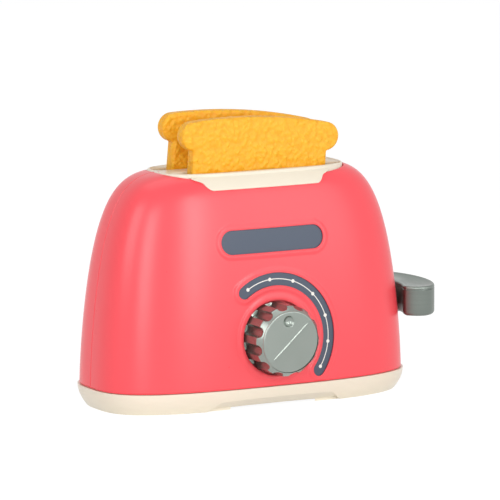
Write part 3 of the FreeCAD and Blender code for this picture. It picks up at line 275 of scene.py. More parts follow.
def band_path(grown):
    """Walks the arc band round the dial, with its round ends."""
    half = scale_half_width + grown
    cap = math.degrees(half / scale_radius)

    def walk(t):
        t = min(max(t, 0.0), 1.0)
        lead = 0.08
        if t < lead:
            turn = math.pi / 2 * t / lead
            clock, width = scale_start - cap * math.cos(turn), half * math.sin(turn)
        elif t > 1 - lead:
            turn = math.pi / 2 * (1 - t) / lead
            clock, width = scale_end + cap * math.cos(turn), half * math.sin(turn)
        else:
            clock, width = scale_start + (scale_end - scale_start) * (t - lead) / (1 - 2 * lead), half
        turn = math.radians(clock)
        return scale_middle(clock), (math.sin(turn), math.cos(turn)), width
    return walk


def pill_path(grown):
    """Walks the pill above the dial from end to end."""
    half = label_half_height + grown
    straight = label_half_length - label_half_height

    def walk(t):
        lead = 0.16
        if t < lead:
            turn = math.pi / 2 * t / lead
            return (-straight - half * math.cos(turn), label_height), (0, 1), half * math.sin(turn)
        if t > 1 - lead:
            turn = math.pi / 2 * (1 - t) / lead
            return (straight + half * math.cos(turn), label_height), (0, 1), half * math.sin(turn)
        return (straight * (2 * (t - lead) / (1 - 2 * lead) - 1), label_height), (0, 1), half
    return walk


def slab_on_front(name, grid, front, back):
    """A closed slab between two levels of the loaf's front face."""
    outer = [[Vector((x, -loaf_depth(x, z, front), z)) for x, z in row] for row in grid]
    inner = [[Vector((x, -loaf_depth(x, z, back), z)) for x, z in row] for row in grid]
    loops = [a + b[::-1] for a, b in zip(outer, inner)]
    points, faces = woven(loops, True, False, caps=True)
    return new_piece(name, points, faces)


def bead_on_front(name, grid, radius, level, around=8):
    """A fine round bead laid on the loaf's front face along the edge of a strip."""
    edge = [row[0] for row in grid] + [row[-1] for row in grid[-2:0:-1]]
    columns = []
    for i, (x, z) in enumerate(edge):
        (ax, az), (bx, bz) = edge[i - 1], edge[(i + 1) % len(edge)]
        size = math.hypot(bx - ax, bz - az)
        nx, nz = (bz - az) / size, (ax - bx) / size
        column = []
        for k in range(around):
            turn = 2 * math.pi * k / around
            px, pz = x + nx * radius * math.cos(turn), z + nz * radius * math.cos(turn)
            column.append(Vector((px, -loaf_depth(px, pz, level) - radius * math.sin(turn), pz)))
        columns.append(column)
    return new_piece(name, *woven(columns, True, True))


def tube(name, x, z, outline, side, steps=96):
    """A turned tube round an axis along Y. The outline gives radius and depth, None for the shell's face."""
    columns = []
    for i in range(steps):
        turn = 2 * math.pi * i / steps
        column = []
        for radius, depth in outline:
            px, pz = x + radius * math.cos(turn), z + radius * math.sin(turn)
            reach = loaf_depth(px, pz, -shell_wall / 2) if depth is None else depth
            column.append(Vector((px, side * reach, pz)))
        columns.append(column)
    points, faces = woven(columns, True, True)
    return new_piece(name, points, faces)


def drill(name, x, z, radius, start, end, side, steps):
    """A solid rod along Y that cuts a round hole."""
    axis = 0.01
    return tube(name, x, z, [(axis, start), (radius, start), (radius, end), (axis, end)], side, steps)


def block(name, low, high):
    """A box between two corners."""
    xs, ys, zs = zip(low, high)
    points = [(x, y, z) for x in xs for y in ys for z in zs]
    faces = [(0, 1, 3, 2), (4, 6, 7, 5), (0, 4, 5, 1), (2, 3, 7, 6), (0, 2, 6, 4), (1, 5, 7, 3)]
    return new_piece(name, points, faces)


def join(name, *pieces):
    """Joins the pieces into one new piece of this name."""
    work = bmesh.new()
    for piece in pieces:
        work.from_mesh(piece.data)
    mesh = bpy.data.meshes.new(name)
    work.to_mesh(mesh)
    work.free()
    whole = bpy.data.objects.new(name, mesh)
    bpy.context.scene.collection.objects.link(whole)
    for piece in pieces:
        bpy.data.objects.remove(piece)
    return whole


def linear(code):
    """sRGB hex to the linear colour that a shader takes."""
    parts = [int(code[i:i + 2], 16) / 255 for i in (0, 2, 4)]
    return [c / 12.92 if c <= 0.04045 else ((c + 0.055) / 1.055) ** 2.4 for c in parts] + [1.0]


def add(owner, kind, settings=None, links=None, **fields):
    """Adds a node to a material or the world, with its fields, its socket values and its links."""
    tree = owner.node_tree
    node = tree.nodes.new(kind)
    for name, value in fields.items():
        setattr(node, name, value)
    for socket, value in (settings or {}).items():
        node.inputs[socket].default_value = value
    for socket, source in (links or {}).items():
        tree.links.new(source, node.inputs[socket])
    return node


def new_material(name):
    """A new material and its main shader."""
    material = bpy.data.materials.new(name)
    material.use_nodes = True
    return material, material.node_tree.nodes["Principled BSDF"]


def per_metre(size_mm):
    """A pattern's scale from the real size of its grain."""
    return 1000.0 / size_mm


def moulded_plastic(name, code, deep_code, roughness, grain_mm, grain_depth, drift_mm=45.5):
    """Moulded thermoplastic: even colour with a faint drift, and the fine orange peel of a mould face."""
    material, shader = new_material(name)
    place = add(material, "ShaderNodeTexCoord")
    drift = add(material, "ShaderNodeTexNoise", {"Scale": per_metre(drift_mm), "Detail": 2.0},
                {"Vector": place.outputs["Object"]})
    tint = add(material, "ShaderNodeMix", {"A": linear(code), "B": linear(deep_code)},
               {"Factor": drift.outputs["Fac"]}, data_type="RGBA")
    peel = add(material, "ShaderNodeTexNoise", {"Scale": per_metre(grain_mm), "Detail": 3.0},
               {"Vector": place.outputs["Object"]})
    rough = add(material, "ShaderNodeMapRange",
                {"To Min": roughness - 0.03, "To Max": roughness + 0.03}, {"Value": peel.outputs["Fac"]})
    bump = add(material, "ShaderNodeBump", {"Strength": 0.5, "Distance": grain_depth * MM},
               {"Height": peel.outputs["Fac"]})
    material.node_tree.links.new(tint.outputs["Result"], shader.inputs["Base Color"])
    material.node_tree.links.new(rough.outputs["Result"], shader.inputs["Roughness"])
    material.node_tree.links.new(bump.outputs["Normal"], shader.inputs["Normal"])
    return material, shader


# ABS: IOR 1.53, satin from a lightly blasted mould, so highlights are broad and soft.
coral_abs, shader = moulded_plastic("coral_abs", "FB525B", "F84B55", 0.29, 1.4, 0.02)
shader.inputs["IOR"].default_value = 1.53

front = new_piece("body_front", *woven(shell_columns(
    math.pi, lambda x: 0.6 if abs(x) < 44 else 1.5, 0.6, front_relief), True, False, caps=True))
pocket_floor = -0.9
beyond_face = 8.0
cut_away(
    front,
    join("pockets",
         slab_on_front("pill_pocket", strip(pill_path(0.0), 70), beyond_face, pocket_floor),
         slab_on_front("band_pocket", strip(band_path(0.0), 120), beyond_face, pocket_floor),
         drill("recess", 0, dial_height, recess_radius, 30, 60, -1, 160),
         block("lever_slot", *lever_slot)))
cup_radius = 21.7
cup_face, cup_back = 34.8, 32.8
arbor_hole = 3.4
cup = tube("cup", 0, dial_height,
           [(recess_radius + 0.02, None), (recess_radius + 0.02, cup_face), (arbor_hole, cup_face),
            (arbor_hole, cup_back), (cup_radius, cup_back), (cup_radius, None)], -1, 160)
bead_radius = 0.3
bead_away = 0.15
bead_level = rim_proud - 0.08
front = join("body_front", front, cup,
             bead_on_front("pill_bead", strip(pill_path(bead_away), 120), bead_radius, bead_level),
             bead_on_front("band_bead", strip(band_path(bead_away), 240), bead_radius, bead_level))

rear = new_piece("body_rear", *woven(shell_columns(
    0.0, lambda x: 1.6, 1.8, no_relief), True, False, caps=True))
wells = [(side * x, z) for side in (1, -1) for x, z in ((76.0, 66.0), (63.0, 100.0))]
well_radius = 3.2
well_floor = 9.0
screw_bore = 1.7
post_radius = 4.6
post_face = 0.3
cut_away(rear, join("rear_holes", block("lever_slot", *lever_slot),
                    *[drill("well_%d" % i, x, z, well_radius, 8, 60, 1, 64)
                      for i, (x, z) in enumerate(wells)]))
post = [(well_radius + 0.02, None), (well_radius + 0.02, well_floor), (screw_bore, well_floor),
        (screw_bore, post_face), (post_radius, post_face), (post_radius, None)]
rear = join("body_rear", rear, *[tube("post_%d" % i, x, z, post, 1, 64) for i, (x, z) in enumerate(wells)])
for half, node in ((front, "front_shell"), (rear, "rear_shell")):
    smooth(half)
    half.data.materials.clear()
    half.data.materials.append(coral_abs)
    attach(half, "toaster")
    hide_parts(node)

# ---- Printed insets ----
# A pill and an arc band of thin ABS sheet, printed in slate and pressed into pockets in the front. The band
# carries a white line with seven dots. Both sit a little below their raised rims.

inset_fit = 0.08
inset_sunk = 0.15
inset_back = -0.88

# Screen print on smooth ABS sheet: IOR 1.5, an even slate with a slight gloss.
slate_print, shader = moulded_plastic("slate_print", "475263", "414C5E", 0.36, 0.9, 0.006)
shader.inputs["IOR"].default_value = 1.5

name_pill = slab_on_front("name_pill", strip(pill_path(-inset_fit), 90, 8), -inset_sunk, inset_back)
scale_band = slab_on_front("scale_band", strip(band_path(-inset_fit), 200, 8), -inset_sunk, inset_back)
for inset, node, slot in ((name_pill, "front_label", "label_print"),
                          (scale_band, "scale_label", "scale_print")):
    smooth(inset)
    inset.data.materials.append(slate_print)
    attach(inset, "toaster")
    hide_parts(node)

dot_count = 7
dot_first, dot_last = -31.5, 124.0
dot_radius = 0.95
dot_proud = 0.06
line_half_width = 0.24
line_proud = 0.05
ink_back = -0.3


def line_path(t):
    """Walks the scale's line from the first dot to the last."""
    clock = dot_first + (dot_last - dot_first) * t
    turn = math.radians(clock)
    return scale_middle(clock), (math.sin(turn), math.cos(turn)), line_half_width


def dot_path(x, z):
    """Walks one dot from side to side."""
    def walk(t):
        return (x - dot_radius * math.cos(math.pi * t), z), (0, 1), dot_radius * math.sin(math.pi * t)
    return walk


# Screen ink: a matt, slightly warm white, thick enough to stand just proud of the slate.
white_ink, shader = moulded_plastic("white_ink", "F4F1EA", "ECE8DF", 0.45, 0.6, 0.004)
marks = [slab_on_front("scale_line", strip(line_path, 90, 2), -inset_sunk + line_proud, ink_back)]
for i in range(dot_count):
    dot_x, dot_z = scale_middle(dot_first + (dot_last - dot_first) * i / (dot_count - 1))
    dot = strip(dot_path(dot_x, dot_z), 24, 4)
    marks.append(slab_on_front("dot_%d" % i, dot, -inset_sunk + dot_proud, ink_back))
scale_marks = join("scale_marks", *marks)
smooth(scale_marks)
scale_marks.data.materials.append(white_ink)
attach(scale_marks, "toaster")

# ---- Base tray ----
# One cream ABS moulding that the body stands in: a bowl-edged skirt with an arch cut through it in front
# and behind. It is screwed up into the body.

# ABS in cream, from a smoother mould than the body's: IOR 1.53, a warm off-white with a soft sheen.
cream_abs, shader = moulded_plastic("cream_abs", "EEE5D2", "EAE0CC", 0.31, 1.4, 0.012)
shader.inputs["IOR"].default_value = 1.53


def finish_node(node, material):
    """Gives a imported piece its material."""
    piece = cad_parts[node]
    piece.data.materials.clear()
    piece.data.materials.append(material)


finish_node("base_tray", cream_abs)

# ---- Slot plate ----
# A cream ABS moulding that snaps into the crown. Its rolled rim stands a little above a flat deck with two
# slots, each with a chute below for the bread. A flap hangs over the body in front and behind.

plate_top = 123.1
plate_foot = 114.0
plate_gap = 0.3
deck_under = 121.0
slot_half_length = 49.45
slot_half_width = 5.2
slot_corner = 4.6
slot_shift = 2.45
slice_spacing = 22.4
chute_foot = 96.0
chute_wall = 1.5
chute_lap = 0.3
chute_fit = 0.02
flap_foot = 115.2
flap_top = 121.9
flap_half_length = 32.8
flap_proud = 1.0
flap_corner = 2.2
flap_flare = 0.75
flap_shoulder = 3.6
shoulder_foot, shoulder_top = 118.9, 121.4
flap_roll = 0.8
flap_fit = 0.04


def plate_outline(grown, count=280):
    """The plate's edge, moved outwards by grown."""
    points = []
    for i in range(count):
        x, y = on_superellipse(plate_half_length - plate_gap + grown, plate_half_depth - plate_gap + grown,
                               plate_squareness, 2 * math.pi * i / count)
        points.append((x + plate_shift, y))
    return points


def slot_outline(y, grown, around=16):
    """A rectangle with round corners round one slot."""
    corner = slot_corner + grown
    points = []
    for k, (sx, sy) in enumerate(((1, 1), (-1, 1), (-1, -1), (1, -1))):
        for i in range(around + 1):
            turn = math.pi / 2 * (k + i / around)
            points.append((slot_shift + sx * (slot_half_length - slot_corner) + corner * math.cos(turn),
                           y + sy * (slot_half_width - slot_corner) + corner * math.sin(turn)))
    return points


def upright(name, outline, profile, capped):
    """A wall that follows an outline. The profile gives how far it is grown at each height."""
    rings = [[Vector((x, y, z)) for x, y in outline(grown)] for grown, z in profile]
    columns = [list(column) for column in zip(*rings)]
    points, faces = woven(columns, not capped, True)
    if capped:
        rows = len(profile)
        faces.append(tuple(i * rows for i in range(len(columns))))
        faces.append(tuple(i * rows + rows - 1 for i in range(len(columns)))[::-1])
    return new_piece(name, points, faces)


def flap_half(z):
    """Half length of the flap: round low corners, a straight flare and a soft shoulder under the rim."""
    half = flap_half_length + flap_flare * (z - flap_foot)
    half += flap_shoulder * fade(z, shoulder_foot, shoulder_top)
    low = max(flap_corner - (z - flap_foot), 0.0)
    return half - flap_corner + math.sqrt(flap_corner ** 2 - low * low)


def flap(name, side):
    """The flap, with its edge rolled down to the body."""
    rows, half_columns = 30, 40
    levels = [flap_foot + (flap_top - flap_foot) * (k / rows) ** 1.5 for k in range(rows + 1)]
    across = [math.sin(math.pi / 2 * k / half_columns) for k in range(-half_columns, half_columns + 1)]
    outer, inner = [], []
    for z in levels:
        half = flap_half(z)
        top, under = [], []
        for w in across:
            x = half * w
            short = max(flap_roll - min(half - abs(x), z - flap_foot), 0.0)
            proud = flap_proud - flap_roll + math.sqrt(flap_roll * flap_roll - short * short)
            top.append(Vector((x, side * loaf_depth(x, z, proud), z)))
            under.append(Vector((x, side * loaf_depth(x, z, flap_fit), z)))
        outer.append(top)
        inner.append(under)
    loops = [a + b[::-1] for a, b in zip(outer, inner)]
    return new_piece(name, *woven(loops, True, False, caps=True))


rim_profile = [(-2.0, deck_under), (-2.0, plate_foot), (0.0, plate_foot), (0.0, 122.7), (-0.1, 123.15),
               (-0.38, 123.5), (-0.8, 123.68), (-1.2, 123.7), (-1.55, 123.6), (-1.9, 123.38),
               (-2.3, 123.18), (-2.8, plate_top)]
slot_profile = [(0.0, 90.0), (0.0, 122.3), (0.05, 122.6), (0.2, 122.85), (0.45, 123.03), (0.8, plate_top),
                (0.8, 126.0)]
plate = upright("plate", plate_outline, rim_profile, True)
lanes = (-slice_spacing / 2, slice_spacing / 2)
cut_away(plate, *[upright("slot_%d" % i, lambda grown, y=y: slot_outline(y, grown), slot_profile, True)
                  for i, y in enumerate(lanes)])
chute_profile = [(chute_fit, chute_foot), (chute_wall, chute_foot), (chute_wall, deck_under + chute_lap),
                 (chute_fit, deck_under + chute_lap)]
plate = join("plate", plate, flap("flap_front", -1), flap("flap_rear", 1),
             *[upright("chute_%d" % i, lambda grown, y=y: slot_outline(y, grown), chute_profile, False)
               for i, y in enumerate(lanes)])
smooth(plate, 40)
plate.data.materials.clear()
plate.data.materials.append(cream_abs)
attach(plate, "toaster")
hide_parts("slot_plate")

# ---- Bread slices ----
# Two solid slices of soft PVC in toast yellow, moulded with pebbles all over and a head that overhangs like a
# crust. They lie loose on the carriage and lean in their slots.

slice_half_width = 40.0
slice_head_half_width = 47.0
slice_shoulder = 68.0
slice_head_height = 15.4
slice_crown = 2.8
slice_thickness = 8.0
slice_corner = 4.0
slice_roll = 1.9
front_lean = math.radians(3.4)
rear_lean = math.radians(5.3)
slice_head_shift = 4.3
platform_top = 62.5
slice_gap = 0.05


def slice_outline(count=300):
    """Points round the slice, evenly spaced, starting at the middle of its bottom edge."""
    cap = slice_head_height / 2
    end = slice_head_half_width - cap
    neck = math.asin((slice_half_width - end) / cap)
    crown_start = math.asin(2 * slice_crown * end / (end * end + slice_crown * slice_crown))
    crown_radius = cap + (end * end + slice_crown * slice_crown) / (2 * slice_crown)
    side = [(0, 0), (slice_half_width - slice_corner, 0)]
    for k in range(1, 9):
        turn = math.pi / 2 * k / 8
        side.append((slice_half_width - slice_corner + slice_corner * math.sin(turn),
                     slice_corner - slice_corner * math.cos(turn)))
    for k in range(25):
        turn = neck + (math.pi - crown_start - neck) * k / 24
        side.append((end + cap * math.sin(turn), slice_shoulder + cap - cap * math.cos(turn)))
    top = slice_shoulder + slice_head_height + slice_crown
    for k in range(1, 13):
        turn = crown_start * (1 - k / 12)
        side.append((crown_radius * math.sin(turn), top - crown_radius * (1 - math.cos(turn))))
    loop = side + [(-x, z) for x, z in side[-2:0:-1]]
    lengths = [0.0]
    for a, b in zip(loop, loop[1:] + loop[:1]):
        lengths.append(lengths[-1] + math.hypot(b[0] - a[0], b[1] - a[1]))
    even, k = [], 0
    for i in range(count):
        want = lengths[-1] * i / count
        while lengths[k + 1] < want:
            k += 1
        t = (want - lengths[k]) / (lengths[k + 1] - lengths[k])
        a, b = loop[k], loop[(k + 1) % len(loop)]
        even.append((a[0] + (b[0] - a[0]) * t, a[1] + (b[1] - a[1]) * t))
    return even


def drawn_in(outline, inset):
    """The outline moved inwards by a distance."""
    moved = []
    for i, (x, z) in enumerate(outline):
        (ax, az), (bx, bz) = outline[i - 1], outline[(i + 1) % len(outline)]
        dx, dz = bx - ax, bz - az
        size = math.hypot(dx, dz)
        moved.append((x - dz / size * inset, z + dx / size * inset))
    return moved


def bread_slice(name, y, tilt):
    """One slice with rolled edges, leaning by the tilt on one bottom corner."""
    outline = slice_outline()
    half = slice_thickness / 2
    rings = []
    for k in range(7):
        turn = math.pi / 2 * k / 6
        rings.append((slice_roll * (1 - math.sin(turn)), half - slice_roll + slice_roll * math.cos(turn)))
    rings += [(inset, -depth) for inset, depth in rings[::-1]]
    columns = [[] for _ in outline]
    for inset, depth in rings:
        for column, (x, z) in zip(columns, drawn_in(outline, inset)):
            column.append((x, depth, z))
    points, faces = woven(columns, False, True)
    rows = len(rings)
    faces.append(tuple(i * rows for i in range(len(outline))))
    faces.append(tuple(i * rows + rows - 1 for i in range(len(outline)))[::-1])
    centre = slice_shoulder + slice_head_height / 2
    sunk = slice_corner * (1 - math.cos(tilt)) + (slice_half_width - slice_corner) * math.sin(tilt)
    lean = Matrix.Rotation(tilt, 4, "Y")
    shift = Vector((slice_head_shift - centre * math.sin(tilt), y, platform_top + slice_gap + sunk))
    return new_piece(name, [lean @ Vector(p) + shift for p in points], faces)


# Soft PVC: a warm, slightly waxy yellow with a little depth. The pebbles are about 2.6 mm across and wander
# by up to 2 mm, with finer crumbs on them, and the low places are painted browner, as painted shade in the
# hollows.
wander_size = 6.25
wander_reach = 0.0022
pebble_size = 2.632
pebble_height = 0.001
crumb_size = 1.111
crumb_share = 0.35
toast_pvc, shader = new_material("toast_pvc")
place = add(toast_pvc, "ShaderNodeTexCoord")
wander = add(toast_pvc, "ShaderNodeTexNoise", {"Scale": per_metre(wander_size), "Detail": 2.0},
             {"Vector": place.outputs["Object"]})
pushed = add(toast_pvc, "ShaderNodeVectorMath", {"Scale": wander_reach}, {0: wander.outputs["Color"]},
             operation="SCALE")
moved = add(toast_pvc, "ShaderNodeVectorMath", None,
            {0: place.outputs["Object"], 1: pushed.outputs["Vector"]})
pebble = add(toast_pvc, "ShaderNodeTexVoronoi", {"Scale": per_metre(pebble_size), "Smoothness": 0.7},
             {"Vector": moved.outputs[0]}, feature="SMOOTH_F1")
crumb = add(toast_pvc, "ShaderNodeTexNoise", {"Scale": per_metre(crumb_size), "Detail": 3.0},
            {"Vector": place.outputs["Object"]})
height = add(toast_pvc, "ShaderNodeMath", {1: crumb_share}, {0: crumb.outputs["Fac"]}, operation="MULTIPLY")
relief = add(toast_pvc, "ShaderNodeMath", None, {0: pebble.outputs["Distance"], 1: height.outputs[0]})
# The yellow is painted browner towards the pebbles' low places: painted shade in the hollows.
toast_tint_and_hollow_shade = add(toast_pvc, "ShaderNodeMix", {"A": linear("FFC42E"), "B": linear("F9AC16")},
                 {"Factor": relief.outputs[0]}, data_type="RGBA")
toast_bump = add(toast_pvc, "ShaderNodeBump", {"Strength": 1.0, "Distance": pebble_height},
                 {"Height": relief.outputs[0]}, invert=True)
toast_pvc.node_tree.links.new(toast_tint_and_hollow_shade.outputs["Result"], shader.inputs["Base Color"])
toast_pvc.node_tree.links.new(toast_bump.outputs["Normal"], shader.inputs["Normal"])
shader.inputs["Roughness"].default_value = 0.5
shader.inputs["Subsurface Weight"].default_value = 0.1
shader.inputs["Subsurface Radius"].default_value = (0.003, 0.0015, 0.0005)
shader.inputs["Subsurface Scale"].default_value = 1.0

for name, node, body, y, tilt in (("slice_front", "toast_front", "front_slice", lanes[0], front_lean),
                                  ("slice_rear", "toast_rear", "rear_slice", lanes[1], rear_lean)):
    piece = bread_slice(name, y, tilt)
    smooth(piece, 50)
    piece.data.materials.append(toast_pvc)
    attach(piece, body)
    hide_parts(node)

# ---- Timer dial ----
# A knob of ABS, moulded and vacuum plated to a soft silver, and pressed on the timer's arbor. Twelve
# ball-nosed flutes run down its skirt, and the disc in front has a finger dimple and a beaded crease.

dial_rear = 36.3
dial_face = 55.2
dial_radius = 19.0
dial_neck_radius = 18.8
dial_neck = 51.2
dial_brow_radius = 16.5
dial_brow = 54.3
brow_ease = 0.05
dial_face_radius = 16.4
dial_round = 0.7
arbor_bore = 3.05
bore_depth = 12.4
flute_count = 12
flute_radius = 3.1
flute_reach = 20.1
flute_lean = math.radians(2.5)
flute_bearing = math.radians(19.0)
flute_end = 51.7
ridge_ease = 0.02
dimple_radius = 3.1
dimple_sink = 1.9
dimple_reach = 11.1
dimple_bearing = math.radians(-7.0)
crease_bearing = math.radians(42.0)
crease_slope = math.tan(math.radians(3.2))
crease_bead = 0.13
crease_bead_width = 0.5
crease_margin = 3.0


def skirt_radius(depth):
    """The skirt before the flutes are cut: a slight draft, then a sloping brow down to the disc."""
    draft = dial_radius + (dial_neck_radius - dial_radius) * (depth - dial_rear) / (dial_neck - dial_rear)
    slope = (dial_neck_radius - dial_brow_radius) / (dial_brow - dial_neck)
    brow = dial_brow_radius + slope * (dial_brow - depth)
    return 0.5 * (draft + brow - math.sqrt((draft - brow) ** 2 + brow_ease))


def fluted(radius, bearing, depth):
    """The skirt's radius at a bearing and depth, with the flutes taken out and their ridges eased."""
    step = 2 * math.pi / flute_count
    off = (bearing - flute_bearing + step / 2) % step - step / 2
    centre = flute_reach - (depth - dial_rear) * math.tan(flute_lean)
    ball = flute_radius
    if depth > flute_end:
        over = depth - flute_end
        if over >= ball:
            return radius
        ball = math.sqrt(ball * ball - over * over)
    side = centre * math.sin(off)
    if abs(side) >= ball:
        return radius
    groove = centre * math.cos(off) - math.sqrt(ball * ball - side * side)
    gap = radius - groove
    return radius - 0.5 * (gap + math.sqrt(gap * gap + ridge_ease)) if gap > 0 else radius


def face_depth(x, z):
    """Depth of the disc's face: a beaded crease from low left to high right, and the dimple."""
    below = x * math.sin(crease_bearing) - z * math.cos(crease_bearing)
    depth = dial_face - crease_bead - crease_slope * max(below, 0.0)
    if math.hypot(x, z) < dial_face_radius - crease_margin:
        depth += crease_bead * math.exp(-(below / crease_bead_width) ** 2)
    dx = x - dimple_reach * math.sin(dimple_bearing)
    dz = z - dimple_reach * math.cos(dimple_bearing)
    away = math.hypot(dx, dz)
    ball = (dimple_radius ** 2 + dimple_sink ** 2) / (2 * dimple_sink)
    if away < dimple_radius:
        depth -= math.sqrt(ball * ball - away * away) - (ball - dimple_sink)
    return depth


def dial_column(bearing):
    """Radius and depth from the bore's mouth out, along the skirt, over the brow and in across the disc."""
    skirt_rows, brow_rows, round_rows = 30, 26, 6
    eased = 0.3
    column = [(arbor_bore, dial_rear), (dial_radius - 0.5, dial_rear)]
    levels = [dial_rear + eased + (dial_neck - eased - dial_rear) * k / skirt_rows
              for k in range(skirt_rows + 1)]
    levels += [dial_neck + (dial_brow - dial_neck) * k / brow_rows for k in range(1, brow_rows + 1)]
    column += [(fluted(skirt_radius(depth), bearing, depth), depth) for depth in levels]
    column.append((dial_face_radius, dial_face - dial_round))
    for k in range(1, round_rows):
        turn = math.pi / 2 * k / round_rows
        column.append((dial_face_radius - dial_round + dial_round * math.cos(turn),
                       dial_face - dial_round + dial_round * math.sin(turn)))
    radius, step = dial_face_radius - dial_round, 0.25
    while radius > step:
        column.append((radius, dial_face))
        radius -= step
    column.append((0.0, dial_face))
    column += [(0.0, dial_rear + bore_depth), (arbor_bore, dial_rear + bore_depth)]
    return column


def dial_mesh(columns=360):
    """The whole knob: columns of points all round, with the face's relief laid on the disc."""
    net = []
    for i in range(columns):
        bearing = 2 * math.pi * i / columns
        column = []
        for radius, depth in dial_column(bearing):
            x, z = radius * math.sin(bearing), radius * math.cos(bearing)
            if depth > dial_face - dial_round - 0.01:
                depth -= dial_face - face_depth(x, z)
            column.append(Vector((x, -depth, z + dial_height)))
        net.append(column)
    return woven(net, True, True)


# Vacuum-plated ABS under a satin lacquer: grey silver, clouded a little, that still mirrors the coral in its
# flutes. The lacquer's 0.1 mm flake is drawn 0.6 mm wide, so that it shows.
cloud_size = 16.67
flake_size = 0.625
flake_height = 0.00001
plated_abs, shader = new_material("plated_abs")
place = add(plated_abs, "ShaderNodeTexCoord")
cloud = add(plated_abs, "ShaderNodeTexNoise", {"Scale": per_metre(cloud_size), "Detail": 2.0},
            {"Vector": place.outputs["Object"]})
tint = add(plated_abs, "ShaderNodeMix", {"A": linear("9AA19B"), "B": linear("8E968F")},
           {"Factor": cloud.outputs["Fac"]}, data_type="RGBA")
flake = add(plated_abs, "ShaderNodeTexNoise", {"Scale": per_metre(flake_size), "Detail": 2.0},
            {"Vector": place.outputs["Object"]})
bump = add(plated_abs, "ShaderNodeBump", {"Strength": 0.25, "Distance": flake_height},
           {"Height": flake.outputs["Fac"]})
plated_abs.node_tree.links.new(tint.outputs["Result"], shader.inputs["Base Color"])
plated_abs.node_tree.links.new(bump.outputs["Normal"], shader.inputs["Normal"])
shader.inputs["Metallic"].default_value = 0.85
shader.inputs["Roughness"].default_value = 0.27

dial = new_piece("dial", *dial_mesh())
smooth(dial, 38)
dial.data.materials.append(plated_abs)
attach(dial, "dial")
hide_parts("timer_knob")

# ---- Lever paddle ----
# An oval paddle in the same plated ABS, dished on top for a finger, with a rolled edge all round. It is held
# on the carriage's arm by one screw from below.

paddle_centre = 95.7
paddle_half_width = 15.1
paddle_half_depth = 30.4
paddle_foot = 39.1
paddle_top = 55.3
paddle_body_gap = 0.8
paddle_lip = 1.0
paddle_roll = 1.8
paddle_bowl = 1.9
paddle_bowl_middle = 102.5
arm_socket = ((85.0, -3.1, 41.9), (102.3, 3.1, 52.1))
paddle_screw = 98.0
paddle_screw_radius = 1.35


def paddle_edge(count):
    """Points round the paddle: an oval with room for the body cut out of it and the cut's corners eased."""
    first_step, least_step, spread = 0.4, 0.001, 3
    reaches = []
    for i in range(count):
        turn = 2 * math.pi * i / count
        reach, step = 0.0, first_step
        while step > least_step:
            x, y = paddle_bowl_middle + (reach + step) * math.cos(turn), (reach + step) * math.sin(turn)
            oval = ((x - paddle_centre) / paddle_half_width) ** 2 + (y / paddle_half_depth) ** 2
            body = (abs(x) / (body_half_length + paddle_body_gap)) ** body_squareness
            body += (abs(y) / (body_half_depth + paddle_body_gap)) ** body_squareness
            if oval < 1 < body:
                reach += step
            else:
                step /= 2
        reaches.append(reach)
    eased = [sum(reaches[(i + k) % count] for k in range(-spread, spread + 1)) / (2 * spread + 1)
             for i in range(count)]
    eased = [min(a, b) for a, b in zip(eased, reaches)]
    turns = [2 * math.pi * i / count for i in range(count)]
    return [(paddle_bowl_middle + r * math.cos(turn), r * math.sin(turn)) for turn, r in zip(turns, eased)]


def paddle_mesh(count=360):
    """Rolled foot, drawn side, a fine groove, a rolled lip and a bowl inside it."""
    profile = [(paddle_roll * (1 - math.sin(t)), paddle_foot + paddle_roll * (1 - math.cos(t)))
               for t in [math.pi / 2 * k / 6 for k in range(7)]]
    profile += [(0.0, paddle_foot + 4 + 2.2 * k) for k in range(4)]
    profile += [(0.0, paddle_top - 2.15), (0.25, paddle_top - 2.0), (0.3, paddle_top - 1.8),
                (0.1, paddle_top - 1.6)]
    profile += [(paddle_lip - paddle_lip * math.cos(t), paddle_top - 1.3 + 1.3 * math.sin(t))
                for t in [math.pi / 2 * k / 7 for k in range(8)]]
    edge = paddle_edge(count)
    rings = [[(x, y, z) for x, y in drawn_in(edge, inset)] for inset, z in profile]
    lip, bowl_rows = rings[-1], 24
    for k in range(1, bowl_rows + 1):
        t = k / bowl_rows
        fall = paddle_bowl * (1 - (1 - t) ** 2) * min(1.0, (t + 0.02) * 6)
        rings.append([(x + (paddle_bowl_middle - x) * t, y * (1 - t), paddle_top - fall) for x, y, z in lip])
    points, faces = woven([list(column) for column in zip(*rings)], False, True)
    faces.append(tuple(i * len(rings) for i in range(count)))
    return points, faces


# The same plated ABS as the dial, brushed round its side with a fine grit, which stretches the highlight
# upright. The lines are 0.05 mm apart and about 33 mm long, and are drawn 0.3 mm apart, so that they show.
line_length = 33.33
line_spacing = 0.303
line_height = 0.00002
brushed_abs, shader = new_material("brushed_abs")
place = add(brushed_abs, "ShaderNodeTexCoord")
squashed = add(brushed_abs, "ShaderNodeMapping",
               {"Scale": (per_metre(line_length), per_metre(line_length), per_metre(line_spacing))},
               {"Vector": place.outputs["Object"]})
lines = add(brushed_abs, "ShaderNodeTexNoise", {"Scale": 1.0, "Detail": 2.0}, {"Vector": squashed.outputs[0]})
tint = add(brushed_abs, "ShaderNodeMix", {"A": linear("858C86"), "B": linear("747B76")},
           {"Factor": lines.outputs["Fac"]}, data_type="RGBA")
bump = add(brushed_abs, "ShaderNodeBump", {"Strength": 0.35, "Distance": line_height},
           {"Height": lines.outputs["Fac"]})
around = add(brushed_abs, "ShaderNodeTangent", direction_type="RADIAL", axis="Z")
brushed_abs.node_tree.links.new(tint.outputs["Result"], shader.inputs["Base Color"])
brushed_abs.node_tree.links.new(bump.outputs["Normal"], shader.inputs["Normal"])
brushed_abs.node_tree.links.new(around.outputs["Tangent"], shader.inputs["Tangent"])
shader.inputs["Metallic"].default_value = 1.0
shader.inputs["Roughness"].default_value = 0.3
shader.inputs["Anisotropic"].default_value = 0.8

